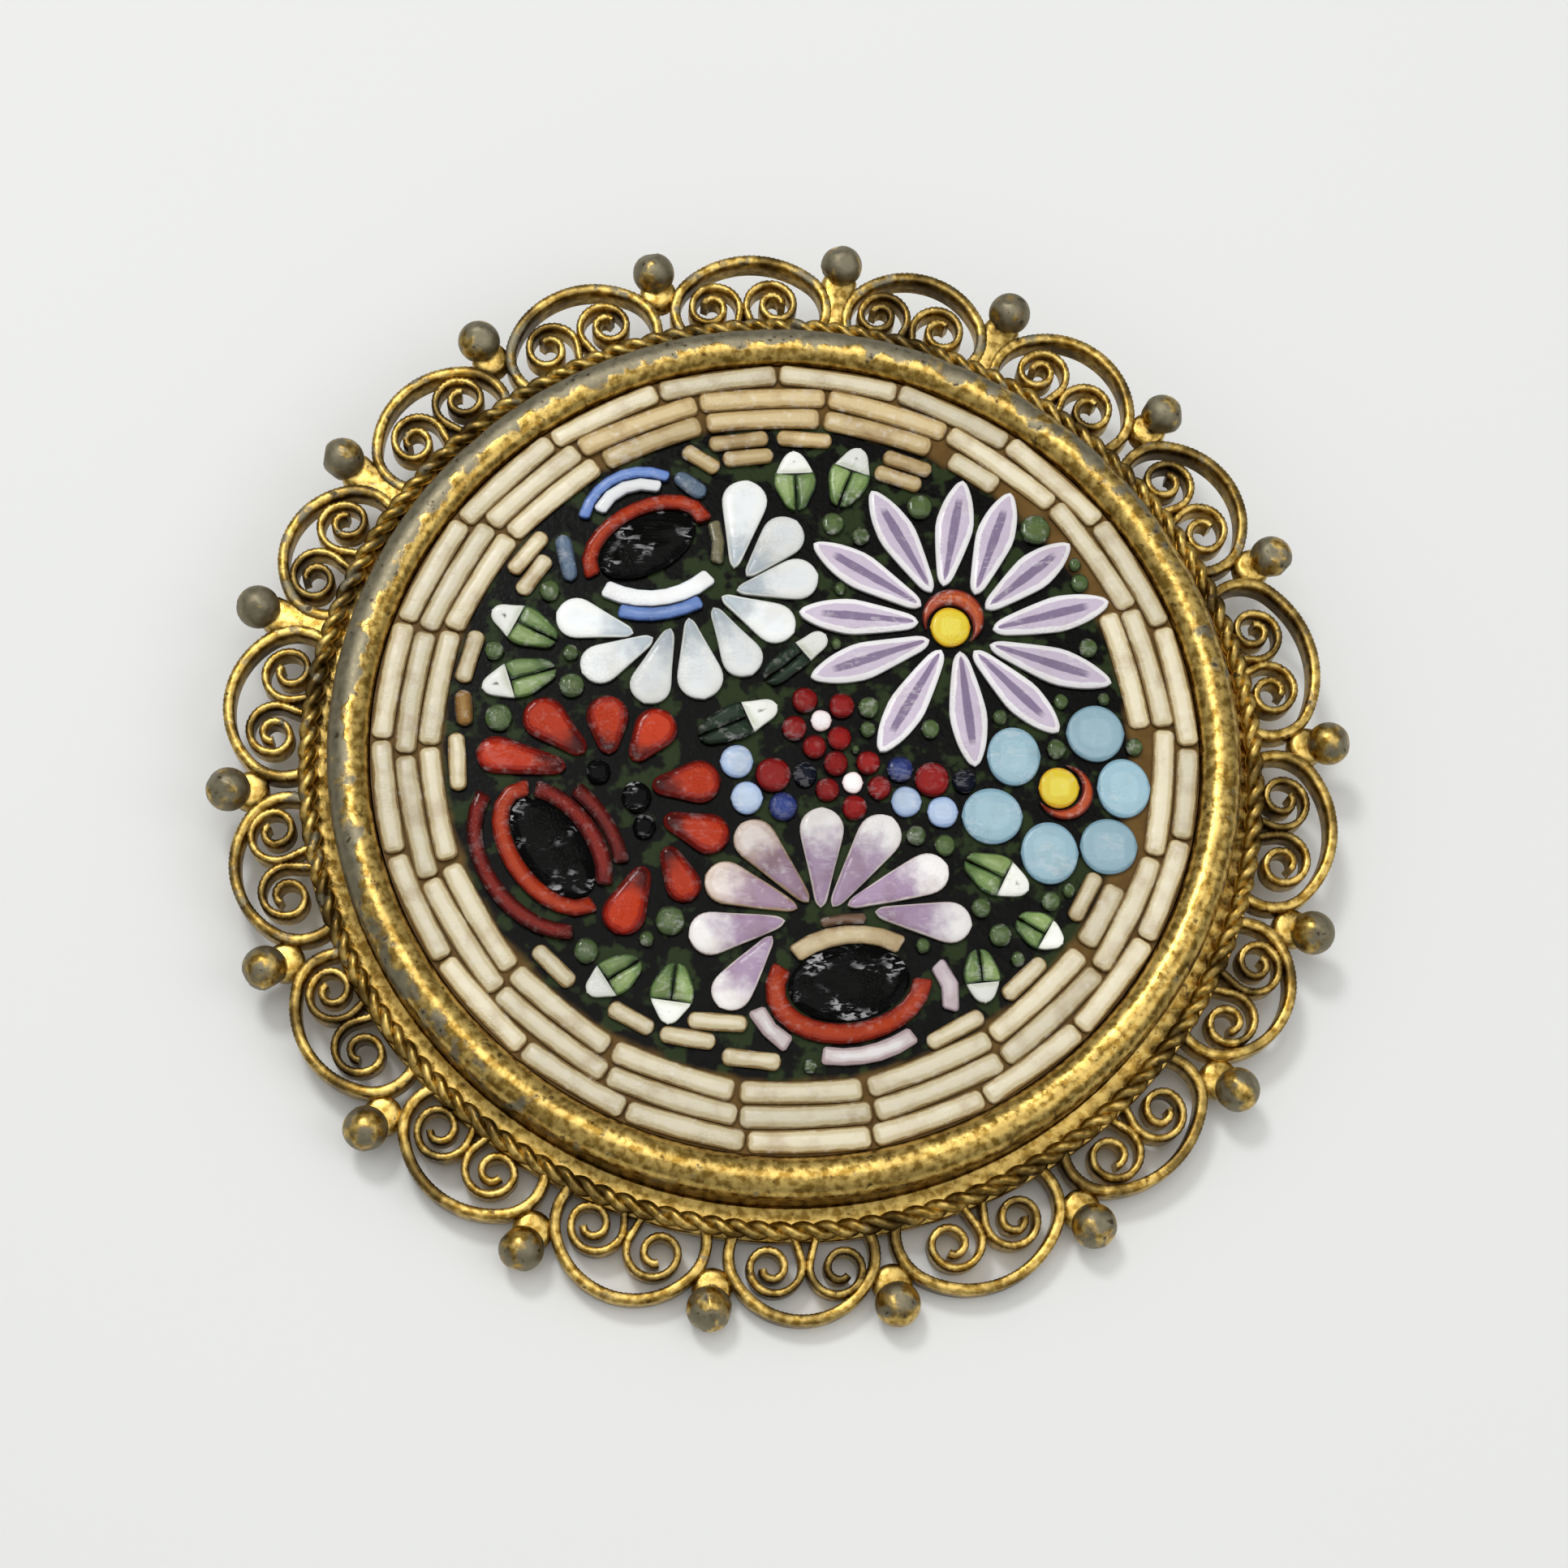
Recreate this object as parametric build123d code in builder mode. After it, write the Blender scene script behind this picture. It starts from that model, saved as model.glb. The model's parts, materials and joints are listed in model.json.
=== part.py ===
from build123d import *
from math import asin, atan2, ceil, cos, degrees, hypot, radians, sin, tan
import os

# Sizes of the brooch, in millimetres, with its own axis as z

# Cup, bezel and ledge: z is zero at the top edges of the flat wires
mosaic_radius = 15.0
bezel_width = 1.45
bezel_crown_share = 0.48
bezel_inner_z = 1.6
bezel_crown_z = 2.1
bezel_outer_z = 1.1
ledge_radius = 17.65
ledge_z = -0.33
back_z = -1.0
plate_thickness = 0.5

# Rope ring lying on the ledge
rope_diameter = 0.72
rope_sink = 0.04

# Flat wires of the border
wire_height = 1.0
arch_wire = 0.4
arch_gap = 0.45
shoulder_radius = 18.15
shoulder_share = 0.76
leg_turn = 38.5
crown_reach = 20.25

# Spirals: a pair of ram's horns stands in each arch
spiral_wire = 0.28
spiral_top = 19.2
spiral_foot = 17.5
twin_half = 0.13
twin_lean = 15
horn_radii = (0.94, 0.88, 0.62, 0.58, 0.42, 0.34, 0.28)

# Balls between the arches, and their solder
ball_diameter = 1.6
ball_centre_radius = 20.15
ball_z = -0.1
solder_radius = 0.7
solder_centre_radius = 19.4
solder_height = 0.7
solder_top_z = -0.15
solder_fill_width = 0.8

# Pin, hinge and catch on the back
findings_y = 5.5
rivet_x = -12.0
pin_drop = 1.3
pin_diameter = 0.8
pin_reach = 12.9
pin_tip_diameter = 0.3
pin_taper = 6.0
eye_radius = 0.75
eye_width = 0.7
rivet_diameter = 0.5
running_gap = 0.1
ear_thickness = 0.6
ear_width = 1.7
catch_x = 10.6
catch_width = 2.2
catch_radius = 0.9
catch_wall = 0.35
catch_post_width = 0.8
solder_sink = 0.1

# Bed of dark mastic and the glass set on it
fit = 0.05
bed_top_z = 1.42
tessera_top_z = 1.7
tessera_gap = 0.12
eye_gap = 0.16

# The picture is charted in squares, like embroidery
chart_squares = 30
square = 2 * mosaic_radius / chart_squares
chart_shift = (0.2, -0.33)

# Scallops: one row for each ball and for the arch that follows it
# ball: its angle; crown: the arch's extra reach; twins: the horns' turn from the arch's middle
# low and high: how many quarter turns each horn has and how far it stands off the rope
scallops = [
    # ball, crown, twins, (quarters, rise) at the lower angle, (quarters, rise) at the higher
    (2.1, 0.0, -0.5, (5.6, 0.0), (6.0, 0.0)),
    (23.8, 0.1, -0.1, (5.0, 0.0), (5.6, 0.0)),
    (43.7, 0.2, 0.1, (5.2, 0.0), (6.4, 0.2)),
    (64.0, 0.05, 0.6, (5.4, 0.0), (6.0, 0.0)),
    (83.3, 0.0, 0.9, (6.2, 0.0), (5.8, 0.0)),
    (104.1, 0.15, 0.3, (5.8, 0.2), (5.4, 0.2)),
    (124.9, 0.0, -0.5, (5.6, 0.25), (6.2, 0.2)),
    (144.9, 0.0, 0.4, (6.0, 0.25), (5.6, 0.25)),
    (163.8, 0.1, 0.0, (5.4, 0.0), (6.2, 0.25)),
    (184.0, 0.0, -0.8, (5.8, 0.25), (5.6, 0.25)),
    (203.4, -0.1, -0.7, (6.0, 0.0), (5.6, 0.2)),
    (222.9, -0.1, -0.6, (5.6, 0.0), (6.0, 0.0)),
    (242.6, 0.2, -0.4, (5.8, 0.0), (5.4, 0.25)),
    (262.0, 0.1, 0.4, (6.0, 0.2), (5.6, 0.3)),
    (280.6, 0.2, 0.2, (5.6, 0.25), (6.0, 0.25)),
    (301.9, -0.1, -0.5, (5.4, 0.2), (5.8, 0.2)),
    (322.5, 0.0, 0.1, (5.8, 0.25), (6.0, 0.25)),
    (341.2, 0.0, 0.1, (5.6, 0.2), (5.6, 0.0)),
]
resting_scallop = 13
# Balls whose solder has filled the whole gap below them, counted from zero
filled_gaps = (3, 4, 7, 8)

# Rings of cream rods, laid like bricks
rod_pitch = 0.85 * square
rod_width = rod_pitch - tessera_gap
outer_ring_radius = 14.5 * square
rod_corner = 0.22 * square

# Angles where two rods of a ring meet
outer_joints = [
    0, 18.7, 37, 55, 73, 91, 109, 126.5, 144.6, 162, 180,
    197, 213.7, 230.3, 246.7, 263.7, 281, 297.5, 314, 330.2, 346,
]
middle_joints = [
    3, 23, 43.4, 63.7, 83.4, 103.7, 124, 142.6, 162.3,
    182.3, 202.1, 222, 242.1, 262.2, 281.9, 302.6, 322.6, 342.4,
]
# First and last angle of each rod of the inner ring
inner_rods = [
    (3, 23.7), (52, 61.5), (64.8, 83.7), (84, 103.5), (104, 121.8), (122.7, 142),
    (142, 161), (161, 181), (181, 200.5), (201, 220.8), (221, 240.5), (241, 261.3),
    (261.7, 281.3), (281.7, 303), (303, 323.5), (324.5, 336),
]

# Short straight rods that fill up corners: radius and angle of both ends
short_rod_width = 0.55 * square
short_rods = [
    (12.0, 63.2, 11.9, 72.0), (11.3, 63.6, 11.2, 72.6), (12.0, 81.8, 12.0, 91.4),
    (12.0, 93.1, 12.0, 103.6), (11.3, 92.4, 11.3, 101.8), (10.95, 103.2, 12.05, 108.2),
    (11.95, 138.0, 11.95, 147.2), (11.25, 141.0, 11.25, 149.8), (11.95, 159.8, 11.95, 169.3),
    (11.85, 170.9, 11.6, 177.2), (11.9, 178.8, 11.9, 189.0), (11.75, 220.5, 11.75, 229.5),
    (11.6, 237.0, 11.6, 245.4), (11.6, 246.9, 11.3, 256.4), (10.8, 250.6, 10.45, 261.5),
    (11.7, 258.2, 11.7, 268.1), (12.03, 293.5, 12.03, 304.0), (12.0, 309.0, 12.0, 318.3),
    (12.0, 327.2, 12.0, 336.4),
]

# Daisy: tip and base of each petal
daisy_petals = [
    ((3.0, 10.2), (5.0, 6.45)), ((6.4, 10.65), (5.62, 6.73)), ((8.17, 10.2), (6.8, 6.4)),
    ((10.3, 8.2), (7.3, 5.75)), ((11.64, 5.92), (7.6, 4.85)), ((11.6, 2.75), (7.46, 4.1)),
    ((9.6, 0.87), (6.8, 3.75)), ((6.54, -0.46), (6.13, 3.65)), ((3.12, 0.05), (5.3, 3.75)),
    ((0.67, 2.86), (4.75, 4.25)), ((0.27, 5.36), (4.35, 5.05)), ((0.83, 8.06), (4.5, 5.8)),
]
daisy_base = 0.24 * square
daisy_waist_share = 0.3
daisy_waist = 0.5 * square
daisy_belly_share = 0.55
daisy_belly = 0.68 * square
daisy_shoulder_share = 0.76
daisy_shoulder = 0.53 * square
daisy_tip = 0.18 * square
daisy_eye_centre = (5.88, 5.2)
daisy_eye_radius = 1.1 * square
daisy_dot_centre = (5.78, 4.85)
daisy_dot_radius = 0.72 * square

# Round-ended petals: middle of the round end, its radius, and the middle of the foot
petal_point = 0.16 * square
poppy_foot = 0.32 * square
white_petals = [
    ((-1.72, 9.75), 0.8, (-2.1, 7.25)), ((-0.3, 8.37), 0.76, (-1.55, 6.9)),
    ((0.2, 6.68), 0.76, (-1.85, 6.22)), ((-0.62, 4.92), 0.74, (-2.42, 5.85)),
    ((-1.83, 3.57), 0.72, (-2.8, 5.35)), ((-3.36, 2.78), 0.8, (-3.75, 4.9)),
    ((-5.16, 2.5), 0.72, (-4.5, 4.5)), ((-6.98, 3.27), 0.72, (-5.24, 4.22)),
    ((-7.85, 5.05), 0.74, (-5.97, 4.53)),
]
pink_petals = [
    ((-1.42, -3.3), 0.76, (0.35, -5.45)), ((-2.45, -4.9), 0.76, (-0.1, -5.75)),
    ((-3.0, -6.75), 0.76, (-0.55, -6.3)), ((-2.28, -8.82), 0.7, (-0.95, -7.0)),
    ((0.97, -2.86), 0.76, (0.9, -5.6)), ((3.05, -3.1), 0.78, (1.42, -5.58)),
    ((4.75, -4.5), 0.74, (2.02, -5.64)), ((5.5, -6.3), 0.74, (3.0, -5.96)),
]
poppy_petals = [
    ((-8.97, 1.2), 0.76, (-7.75, 0.12)), ((-6.7, 1.3), 0.74, (-6.65, 0.2)),
    ((-4.95, 0.85), 0.74, (-5.6, -0.1)), ((-10.7, -0.2), 0.66, (-8.5, -0.6)),
    ((-3.4, -1.15), 0.76, (-4.75, -1.3)), ((-3.05, -3.1), 0.72, (-4.35, -2.65)),
    ((-3.95, -5.0), 0.62, (-4.45, -3.9)), ((-6.05, -6.05), 0.76, (-5.45, -4.65)),
]
poppy_heart = [((-7.0, -0.8), 0.42), ((-5.63, -1.75), 0.52), ((-5.35, -2.85), 0.4)]

# Buds: an oval stone, with its half lengths and its turn
white_bud = ((-5.3, 7.95), (1.95, 1.05), 31)
pink_bud = ((1.85, -8.5), (2.15, 1.3), 9)
poppy_bud = ((-8.6, -3.65), (2.1, 1.05), -55)

# Rims of the buds: oval bands given by centre, inner half lengths, width, turn, first and last angle
white_bud_rim = [
    ((-5.3, 7.95), (2.07, 1.17), 0.5, 31, 25, 212),
    ((-5.45, 8.6), (1.55, 1.55), 0.38, 0, 70, 158),
    ((-5.45, 8.6), (2.05, 2.05), 0.34, 0, 66, 170),
    ((-5.3, 9.1), (3.0, 3.0), 0.55, 0, 242, 314),
    ((-5.3, 9.1), (3.67, 3.67), 0.42, 0, 255, 300),
    ((-5.3, 7.9), (2.4, 2.4), 0.4, 0, -14, 22),
]
white_bud_bars = [((-4.05, 10.58), (-3.42, 10.1), 0.56), ((-8.38, 8.0), (-8.12, 6.75), 0.52)]
pink_bud_rim = [
    ((1.85, -8.56), (2.3, 1.44), 0.64, 9, 166, 364),
    ((1.85, -8.5), (2.27, 1.42), 0.6, 9, 36, 152),
    ((1.85, -8.5), (3.0, 2.15), 0.3, 9, 75, 114),
    ((1.85, -8.5), (3.1, 2.36), 0.56, 9, 250, 320),
    ((1.85, -8.5), (3.15, 2.41), 0.54, 9, 197, 226),
    ((3.83, -9.0), (1.36, 1.36), 0.54, 0, -16, 46),
]
poppy_bud_rim = [
    ((-8.6, -3.65), (2.22, 1.17), 0.55, -55, 112, 306),
    ((-8.6, -3.65), (2.22, 1.17), 0.55, -55, -36, 106),
    ((-8.8, -3.85), (2.92, 1.96), 0.5, -55, 136, 288),
    ((-8.6, -3.65), (2.9, 1.85), 0.5, -55, -12, 70),
]

# Round pieces: middle and half lengths
turquoise_discs = [
    ((10.95, 0.8), (1.04, 1.02)), ((7.95, -0.1), (0.95, 1.08)), ((7.1, -2.36), (1.08, 1.0)),
    ((9.12, -3.72), (1.02, 1.12)), ((11.26, -3.46), (1.02, 1.0)), ((11.9, -1.27), (0.95, 1.08)),
]
turquoise_eye_centre = (9.75, -1.42)
turquoise_eye_radius = 1.0 * square
turquoise_dot_centre = (9.55, -1.28)
turquoise_dot_radius = 0.72 * square
red_blossoms = [
    ((1.0, 1.2), 0.36), ((0.42, 1.97), 0.46), ((1.75, 1.77), 0.45), ((0.02, 0.9), 0.44),
    ((0.74, 0.2), 0.42), ((1.65, 0.54), 0.42), ((2.1, -1.14), 0.36), ((1.5, -0.42), 0.43),
    ((2.68, -0.38), 0.42), ((1.19, -1.42), 0.42), ((3.06, -1.32), 0.42), ((2.15, -2.08), 0.44),
]
blue_blossoms = [
    ((-0.75, -0.87), 0.62), ((0.4, -0.85), 0.42), ((-0.4, -2.06), 0.5), ((-2.06, -0.38), 0.58),
    ((-1.7, -1.75), 0.56), ((4.96, -1.0), 0.62), ((3.82, -0.62), 0.46), ((4.02, -1.84), 0.53),
    ((5.32, -2.22), 0.54), ((6.12, -1.05), 0.42),
]

# Leaves: tip, base and half width
leaf_belly_share = 0.5
leaf_tip = 0.34 * square
leaf_base = 0.42 * square
leaf_vein = 0.13 * square
leaf_white_share = 0.38
leaves = [
    ((-10.9, 5.3), (-8.6, 4.15), 0.72), ((-11.2, 2.3), (-8.6, 3.1), 0.72),
    ((0.1, 11.75), (0.2, 9.4), 0.74), ((2.6, 11.9), (1.75, 9.6), 0.74),
    ((1.2, 4.5), (-1.0, 2.72), 0.45), ((-0.6, 1.75), (-3.4, 0.55), 0.66),
    ((-7.3, -8.9), (-5.5, -7.75), 0.66), ((-4.5, -10.0), (-4.2, -7.85), 0.74),
    ((8.3, -5.1), (6.1, -4.0), 0.74), ((9.45, -7.05), (7.9, -6.15), 0.62),
    ((6.65, -9.2), (6.45, -7.3), 0.62),
]

# Seeds: middle and radius
seeds = [
    ((1.54, 8.88), 0.4), ((2.55, 8.4), 0.32), ((4.76, 9.6), 0.45), ((9.05, 8.75), 0.54),
    ((10.47, 7.38), 0.22), ((10.62, 6.66), 0.32), ((10.83, 4.1), 0.33), ((1.75, 6.32), 0.21),
    ((1.6, 4.16), 0.18), ((2.72, 1.72), 0.36), ((2.68, 0.88), 0.27), ((2.23, 0.12), 0.14),
    ((4.95, 0.92), 0.32), ((7.5, 1.4), 0.26), ((9.75, 2.02), 0.26), ((11.32, 2.12), 0.21),
    ((9.52, 0.2), 0.34), ((12.35, 0.3), 0.3), ((-8.85, 6.1), 0.36), ((-10.8, 3.75), 0.33),
    ((-8.0, 2.45), 0.44), ((-10.6, 1.2), 0.48), ((-8.05, 3.7), 0.27), ((-7.35, -7.4), 0.42),
    ((-4.43, -6.3), 0.5), ((-5.25, -6.95), 0.25), ((4.35, -3.1), 0.34), ((5.37, -3.45), 0.36),
    ((9.75, -5.1), 0.22), ((9.1, -5.5), 0.33), ((6.6, -5.75), 0.34), ((7.25, -6.75), 0.38),
    ((4.5, -7.15), 0.24), ((7.85, -7.62), 0.24), ((0.45, -11.5), 0.22),
]


# How the brooch lies: on one arch of the border, the hinge and the catch

def scallop_angles(index):
    """Return the middle angle and half the pitch of a scallop."""
    first = scallops[index][0]
    last = scallops[(index + 1) % len(scallops)][0]
    pitch = (last - first) % 360
    return first + pitch / 2, pitch / 2


def arch_sizes(index):
    """Return an arch's half width, shoulder radius, crown radius and its centre's height."""
    half_pitch = scallop_angles(index)[1]
    half_width = shoulder_radius * tan(radians(half_pitch)) - (arch_gap + arch_wire) / 2
    height = crown_reach + scallops[index][1] - shoulder_radius
    shoulder = shoulder_share * height
    centre = half_width - shoulder
    crown = (centre ** 2 + height ** 2 - shoulder ** 2) / (2 * (height - shoulder))
    return centre, shoulder, crown, shoulder_radius + height - crown


pin_z = back_z - pin_drop
resting_crown, resting_centre = arch_sizes(resting_scallop)[2:]
rim_lean = cos(radians(270 - scallop_angles(resting_scallop)[0]))
rim_reach = resting_centre * rim_lean + resting_crown + arch_wire / 2
far_arm = rim_reach + findings_y
rest_angle = asin(catch_radius / hypot(far_arm, pin_drop)) + atan2(pin_drop, far_arm)
lift = rim_reach * sin(rest_angle) - back_z * cos(rest_angle)
ear_half_depth = pin_diameter / 2 + running_gap + ear_thickness
ear_round = (far_arm - ear_half_depth) * tan(rest_angle) - pin_drop

brooch = Plane(
    origin=(0, 0, lift),
    x_dir=(1, 0, 0),
    z_dir=(0, -sin(rest_angle), cos(rest_angle)),
)
axis = Axis(brooch.origin, brooch.z_dir)


def plane_at(x, y, z, turn=0):
    """Return a plane facing like the brooch, set at a point of it and turned about it."""
    side = brooch.x_dir * cos(radians(turn)) + brooch.y_dir * sin(radians(turn))
    return Plane(origin=brooch.from_local_coords((x, y, z)), x_dir=side, z_dir=brooch.z_dir)


def picture_plane(point, turn=0, z=bed_top_z + fit):
    """Return the plane of a piece of glass from its place on the chart."""
    x, y = [(point[way] + chart_shift[way]) * square for way in (0, 1)]
    return plane_at(x, y, z, turn)


glass_height = tessera_top_z - bed_top_z - fit


# Setting

def arch_sketch(index, plane):
    """Sketch one arch as two legs with round shoulders and a crown between them."""
    centre, shoulder, crown, crown_y = arch_sizes(index)
    meeting = degrees(atan2(shoulder_radius - crown_y, centre))
    with BuildSketch(plane) as arch:
        with BuildLine():
            CenterArc((centre, shoulder_radius), shoulder, -leg_turn, leg_turn + meeting)
            CenterArc((0, crown_y), crown, meeting, 180 - 2 * meeting)
            CenterArc((-centre, shoulder_radius), shoulder, 180 - meeting, leg_turn + meeting)
        trace(line_width=arch_wire)
    return arch.sketch


def horn_sketch(side, quarters, rise, plane):
    """Sketch one horn: up from the rope, over its top and curling in, in ever smaller arcs."""
    radius = horn_radii[0]
    x = side * (twin_half + radius)
    y = spiral_top + rise - radius
    heading = 180 + twin_lean
    sweep = 90 + twin_lean
    start_x = x + side * radius * cos(radians(heading))
    start_y = y + radius * sin(radians(heading))
    foot_x = start_x + side * (start_y - spiral_foot) * tan(radians(twin_lean))
    with BuildSketch(plane) as horn:
        with BuildLine():
            Line((foot_x, spiral_foot), (start_x, start_y))
            for count in range(ceil(quarters)):
                part = min(1, quarters - count)
                first = heading if side > 0 else 180 - heading
                CenterArc((x, y), radius, first, -side * sweep * part)
                heading -= sweep
                sweep = 90
                smaller = horn_radii[min(count + 1, len(horn_radii) - 1)]
                x += side * (radius - smaller) * cos(radians(heading))
                y += (radius - smaller) * sin(radians(heading))
                radius = smaller
        trace(line_width=spiral_wire)
    return horn.sketch


with BuildPart() as setting:
    # Plate, cup wall, half-round bezel, ledge and rope, as one turned profile
    section = Plane(origin=brooch.origin, x_dir=brooch.x_dir, z_dir=-brooch.y_dir)
    bezel_outer = mosaic_radius + bezel_width
    rope_radius = rope_diameter / 2
    with BuildSketch(section) as profile:
        with BuildLine():
            Polyline(
                (bezel_outer, bezel_outer_z),
                (bezel_outer, ledge_z),
                (ledge_radius, ledge_z),
                (ledge_radius, back_z),
                (0, back_z),
                (0, back_z + plate_thickness),
                (mosaic_radius, back_z + plate_thickness),
                (mosaic_radius, bezel_inner_z),
            )
            ThreePointArc(
                (mosaic_radius, bezel_inner_z),
                (mosaic_radius + bezel_crown_share * bezel_width, bezel_crown_z),
                (bezel_outer, bezel_outer_z),
            )
        make_face()
        with Locations((ledge_radius - rope_radius + rope_sink / 2, ledge_z + rope_radius - rope_sink)):
            Circle(rope_radius)
    revolve(axis=axis)

    # Flat wires standing on edge
    for index, (ball, crown, twins, low, high) in enumerate(scallops):
        middle = scallop_angles(index)[0]
        add(arch_sketch(index, plane_at(0, 0, back_z, middle - 90)))
        twin_plane = plane_at(0, 0, back_z, middle + twins - 90)
        add(horn_sketch(1, low[0], low[1], twin_plane))
        add(horn_sketch(-1, high[0], high[1], twin_plane))
    extrude(amount=wire_height)

    # Solder under the balls
    for index, row in enumerate(scallops):
        with BuildSketch(plane_at(0, 0, solder_top_z - solder_height, row[0] - 90)):
            with Locations((0, solder_centre_radius)):
                Circle(solder_radius)
            if index in filled_gaps:
                filled = solder_centre_radius - spiral_foot
                with Locations((0, solder_centre_radius - filled / 2)):
                    Rectangle(solder_fill_width, filled)
    extrude(amount=solder_height)

    # Balls
    seats = []
    for row in scallops:
        x = ball_centre_radius * cos(radians(row[0]))
        y = ball_centre_radius * sin(radians(row[0]))
        seats.append(plane_at(x, y, ball_z))
    with Locations(*seats):
        Sphere(ball_diameter / 2)

    # Ears of the hinge, with the rivet between them
    for side in (-1, 1):
        face_y = findings_y + (ear_half_depth if side > 0 else ear_thickness - ear_half_depth)
        ear_plane = Plane(
            origin=brooch.from_local_coords((rivet_x, face_y, 0)),
            x_dir=brooch.x_dir,
            z_dir=-brooch.y_dir,
        )
        with BuildSketch(ear_plane):
            with Locations((0, pin_z)):
                Circle(ear_round)
            with Locations((0, (back_z + solder_sink + pin_z) / 2)):
                Rectangle(ear_width, pin_drop + solder_sink)
    extrude(amount=ear_thickness)
    rivet_plane = Plane(
        origin=brooch.from_local_coords((rivet_x, findings_y + ear_half_depth - solder_sink, pin_z)),
        x_dir=brooch.x_dir,
        z_dir=-brooch.y_dir,
    )
    with BuildSketch(rivet_plane):
        Circle(rivet_diameter / 2)
    extrude(amount=2 * (ear_half_depth - solder_sink))

    # Catch: a post with a hook that opens sideways
    catch_plane = Plane(
        origin=brooch.from_local_coords((catch_x, findings_y, 0)),
        x_dir=brooch.y_dir,
        z_dir=brooch.x_dir,
    )
    catch_bore = catch_radius - catch_wall
    with BuildSketch(catch_plane):
        with Locations((0, pin_z)):
            Circle(catch_radius)
        with Locations((catch_radius - catch_post_width / 2, (back_z + solder_sink + pin_z) / 2)):
            Rectangle(catch_post_width, pin_drop + solder_sink)
        with Locations((0, pin_z)):
            Circle(catch_bore, mode=Mode.SUBTRACT)
        with Locations((-catch_radius, pin_z + catch_bore / 2)):
            Rectangle(2 * catch_radius, catch_bore, mode=Mode.SUBTRACT)
    extrude(amount=catch_width)


# Pin

with BuildPart() as pin:
    eye_plane = Plane(
        origin=brooch.from_local_coords((rivet_x, findings_y + eye_width / 2, pin_z)),
        x_dir=brooch.x_dir,
        z_dir=-brooch.y_dir,
    )
    with BuildSketch(eye_plane):
        Circle(eye_radius)
    extrude(amount=eye_width)
    bore = rivet_diameter / 2 + running_gap
    stem_start = (bore + eye_radius) / 2
    stem_length = pin_reach - rivet_x
    stem_plane = Plane(
        origin=brooch.from_local_coords((rivet_x, findings_y, pin_z)),
        x_dir=brooch.x_dir,
        z_dir=-brooch.y_dir,
    )
    with BuildSketch(stem_plane):
        with BuildLine():
            Polyline(
                (stem_start, 0),
                (stem_length, 0),
                (stem_length, pin_tip_diameter / 2),
                (stem_length - pin_taper, pin_diameter / 2),
                (stem_start, pin_diameter / 2),
                close=True,
            )
        make_face()
    revolve(axis=Axis(stem_plane.origin, stem_plane.x_dir))
    with BuildSketch(eye_plane):
        Circle(bore)
    extrude(amount=eye_width, mode=Mode.SUBTRACT)


# Bed

with BuildPart() as bed:
    bed_z = back_z + plate_thickness + fit
    with BuildSketch(plane_at(0, 0, bed_z)):
        Circle(mosaic_radius - fit)
    extrude(amount=bed_top_z - bed_z)


# Glass

def rod_sketch(radius, first, last):
    """Sketch one rod bent along its ring, with rounded corners."""
    trim = degrees(tessera_gap / 2 / radius)
    begin = first + trim
    sweep = (last - first) % 360 - 2 * trim
    with BuildSketch(plane_at(0, 0, bed_top_z + fit)) as rod:
        with BuildLine():
            inside = CenterArc((0, 0), radius - rod_width / 2, begin, sweep)
            outside = CenterArc((0, 0), radius + rod_width / 2, begin, sweep)
            Line(inside @ 0, outside @ 0)
            Line(inside @ 1, outside @ 1)
        make_face()
        fillet(vertices(), rod_corner)
    return rod.sketch


def rod_ring(ring, spans):
    """Make a ring of rods: 0 is the ring next to the bezel."""
    with BuildPart() as rods:
        for first, last in spans:
            add(rod_sketch(outer_ring_radius - ring * rod_pitch, first, last))
        extrude(amount=glass_height)
    return rods.part


def bar_sketch(start, end):
    """Sketch a straight short rod between two points of the brooch's own plane."""
    length = hypot(end[0] - start[0], end[1] - start[1])
    turn = degrees(atan2(end[1] - start[1], end[0] - start[0]))
    x, y = (start[0] + end[0]) / 2, (start[1] + end[1]) / 2
    with BuildSketch(plane_at(x, y, bed_top_z + fit, turn)) as bar:
        RectangleRounded(length, short_rod_width, rod_corner)
    return bar.sketch


def picture_bar(start, end, width):
    """Sketch a round-ended bar from two points of the chart."""
    length = hypot(end[0] - start[0], end[1] - start[1]) * square
    turn = degrees(atan2(end[1] - start[1], end[0] - start[0]))
    middle = ((start[0] + end[0]) / 2, (start[1] + end[1]) / 2)
    with BuildSketch(picture_plane(middle, turn)) as bar:
        SlotCenterToCenter(length, width * square)
    return bar.sketch


def picture_oval(centre, halves, turn=0):
    """Sketch an oval or round piece."""
    with BuildSketch(picture_plane(centre, turn)) as oval:
        if halves[0] == halves[1]:
            Circle(halves[0] * square)
        else:
            Ellipse(halves[0] * square, halves[1] * square)
    return oval.sketch


def picture_band(centre, halves, width, turn, first, last):
    """Sketch an oval band between two angles, with cut ends."""
    reach = 3 * (halves[0] + width) * square
    steps = 8
    corners = [(0, 0)]
    for step in range(steps + 1):
        angle = radians(first - turn + (last - first) * step / steps)
        corners.append((reach * cos(angle), reach * sin(angle)))
    with BuildSketch(picture_plane(centre, turn)) as band:
        Ellipse((halves[0] + width) * square, (halves[1] + width) * square)
        Ellipse(halves[0] * square, halves[1] * square, mode=Mode.SUBTRACT)
        with BuildLine():
            Polyline(*corners, close=True)
        make_face(mode=Mode.INTERSECT)
    return band.sketch


def drop_petal(end, radius, base, foot):
    """Make a petal with one round end that narrows to a small round foot."""
    length = hypot(end[0] - base[0], end[1] - base[1]) * square
    turn = degrees(atan2(base[1] - end[1], base[0] - end[0]))
    with BuildPart() as petal:
        with BuildSketch(picture_plane(end, turn)):
            Circle(radius * square)
            with Locations((length, 0)):
                Circle(foot)
            make_hull()
        extrude(amount=glass_height)
    return petal.part


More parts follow.
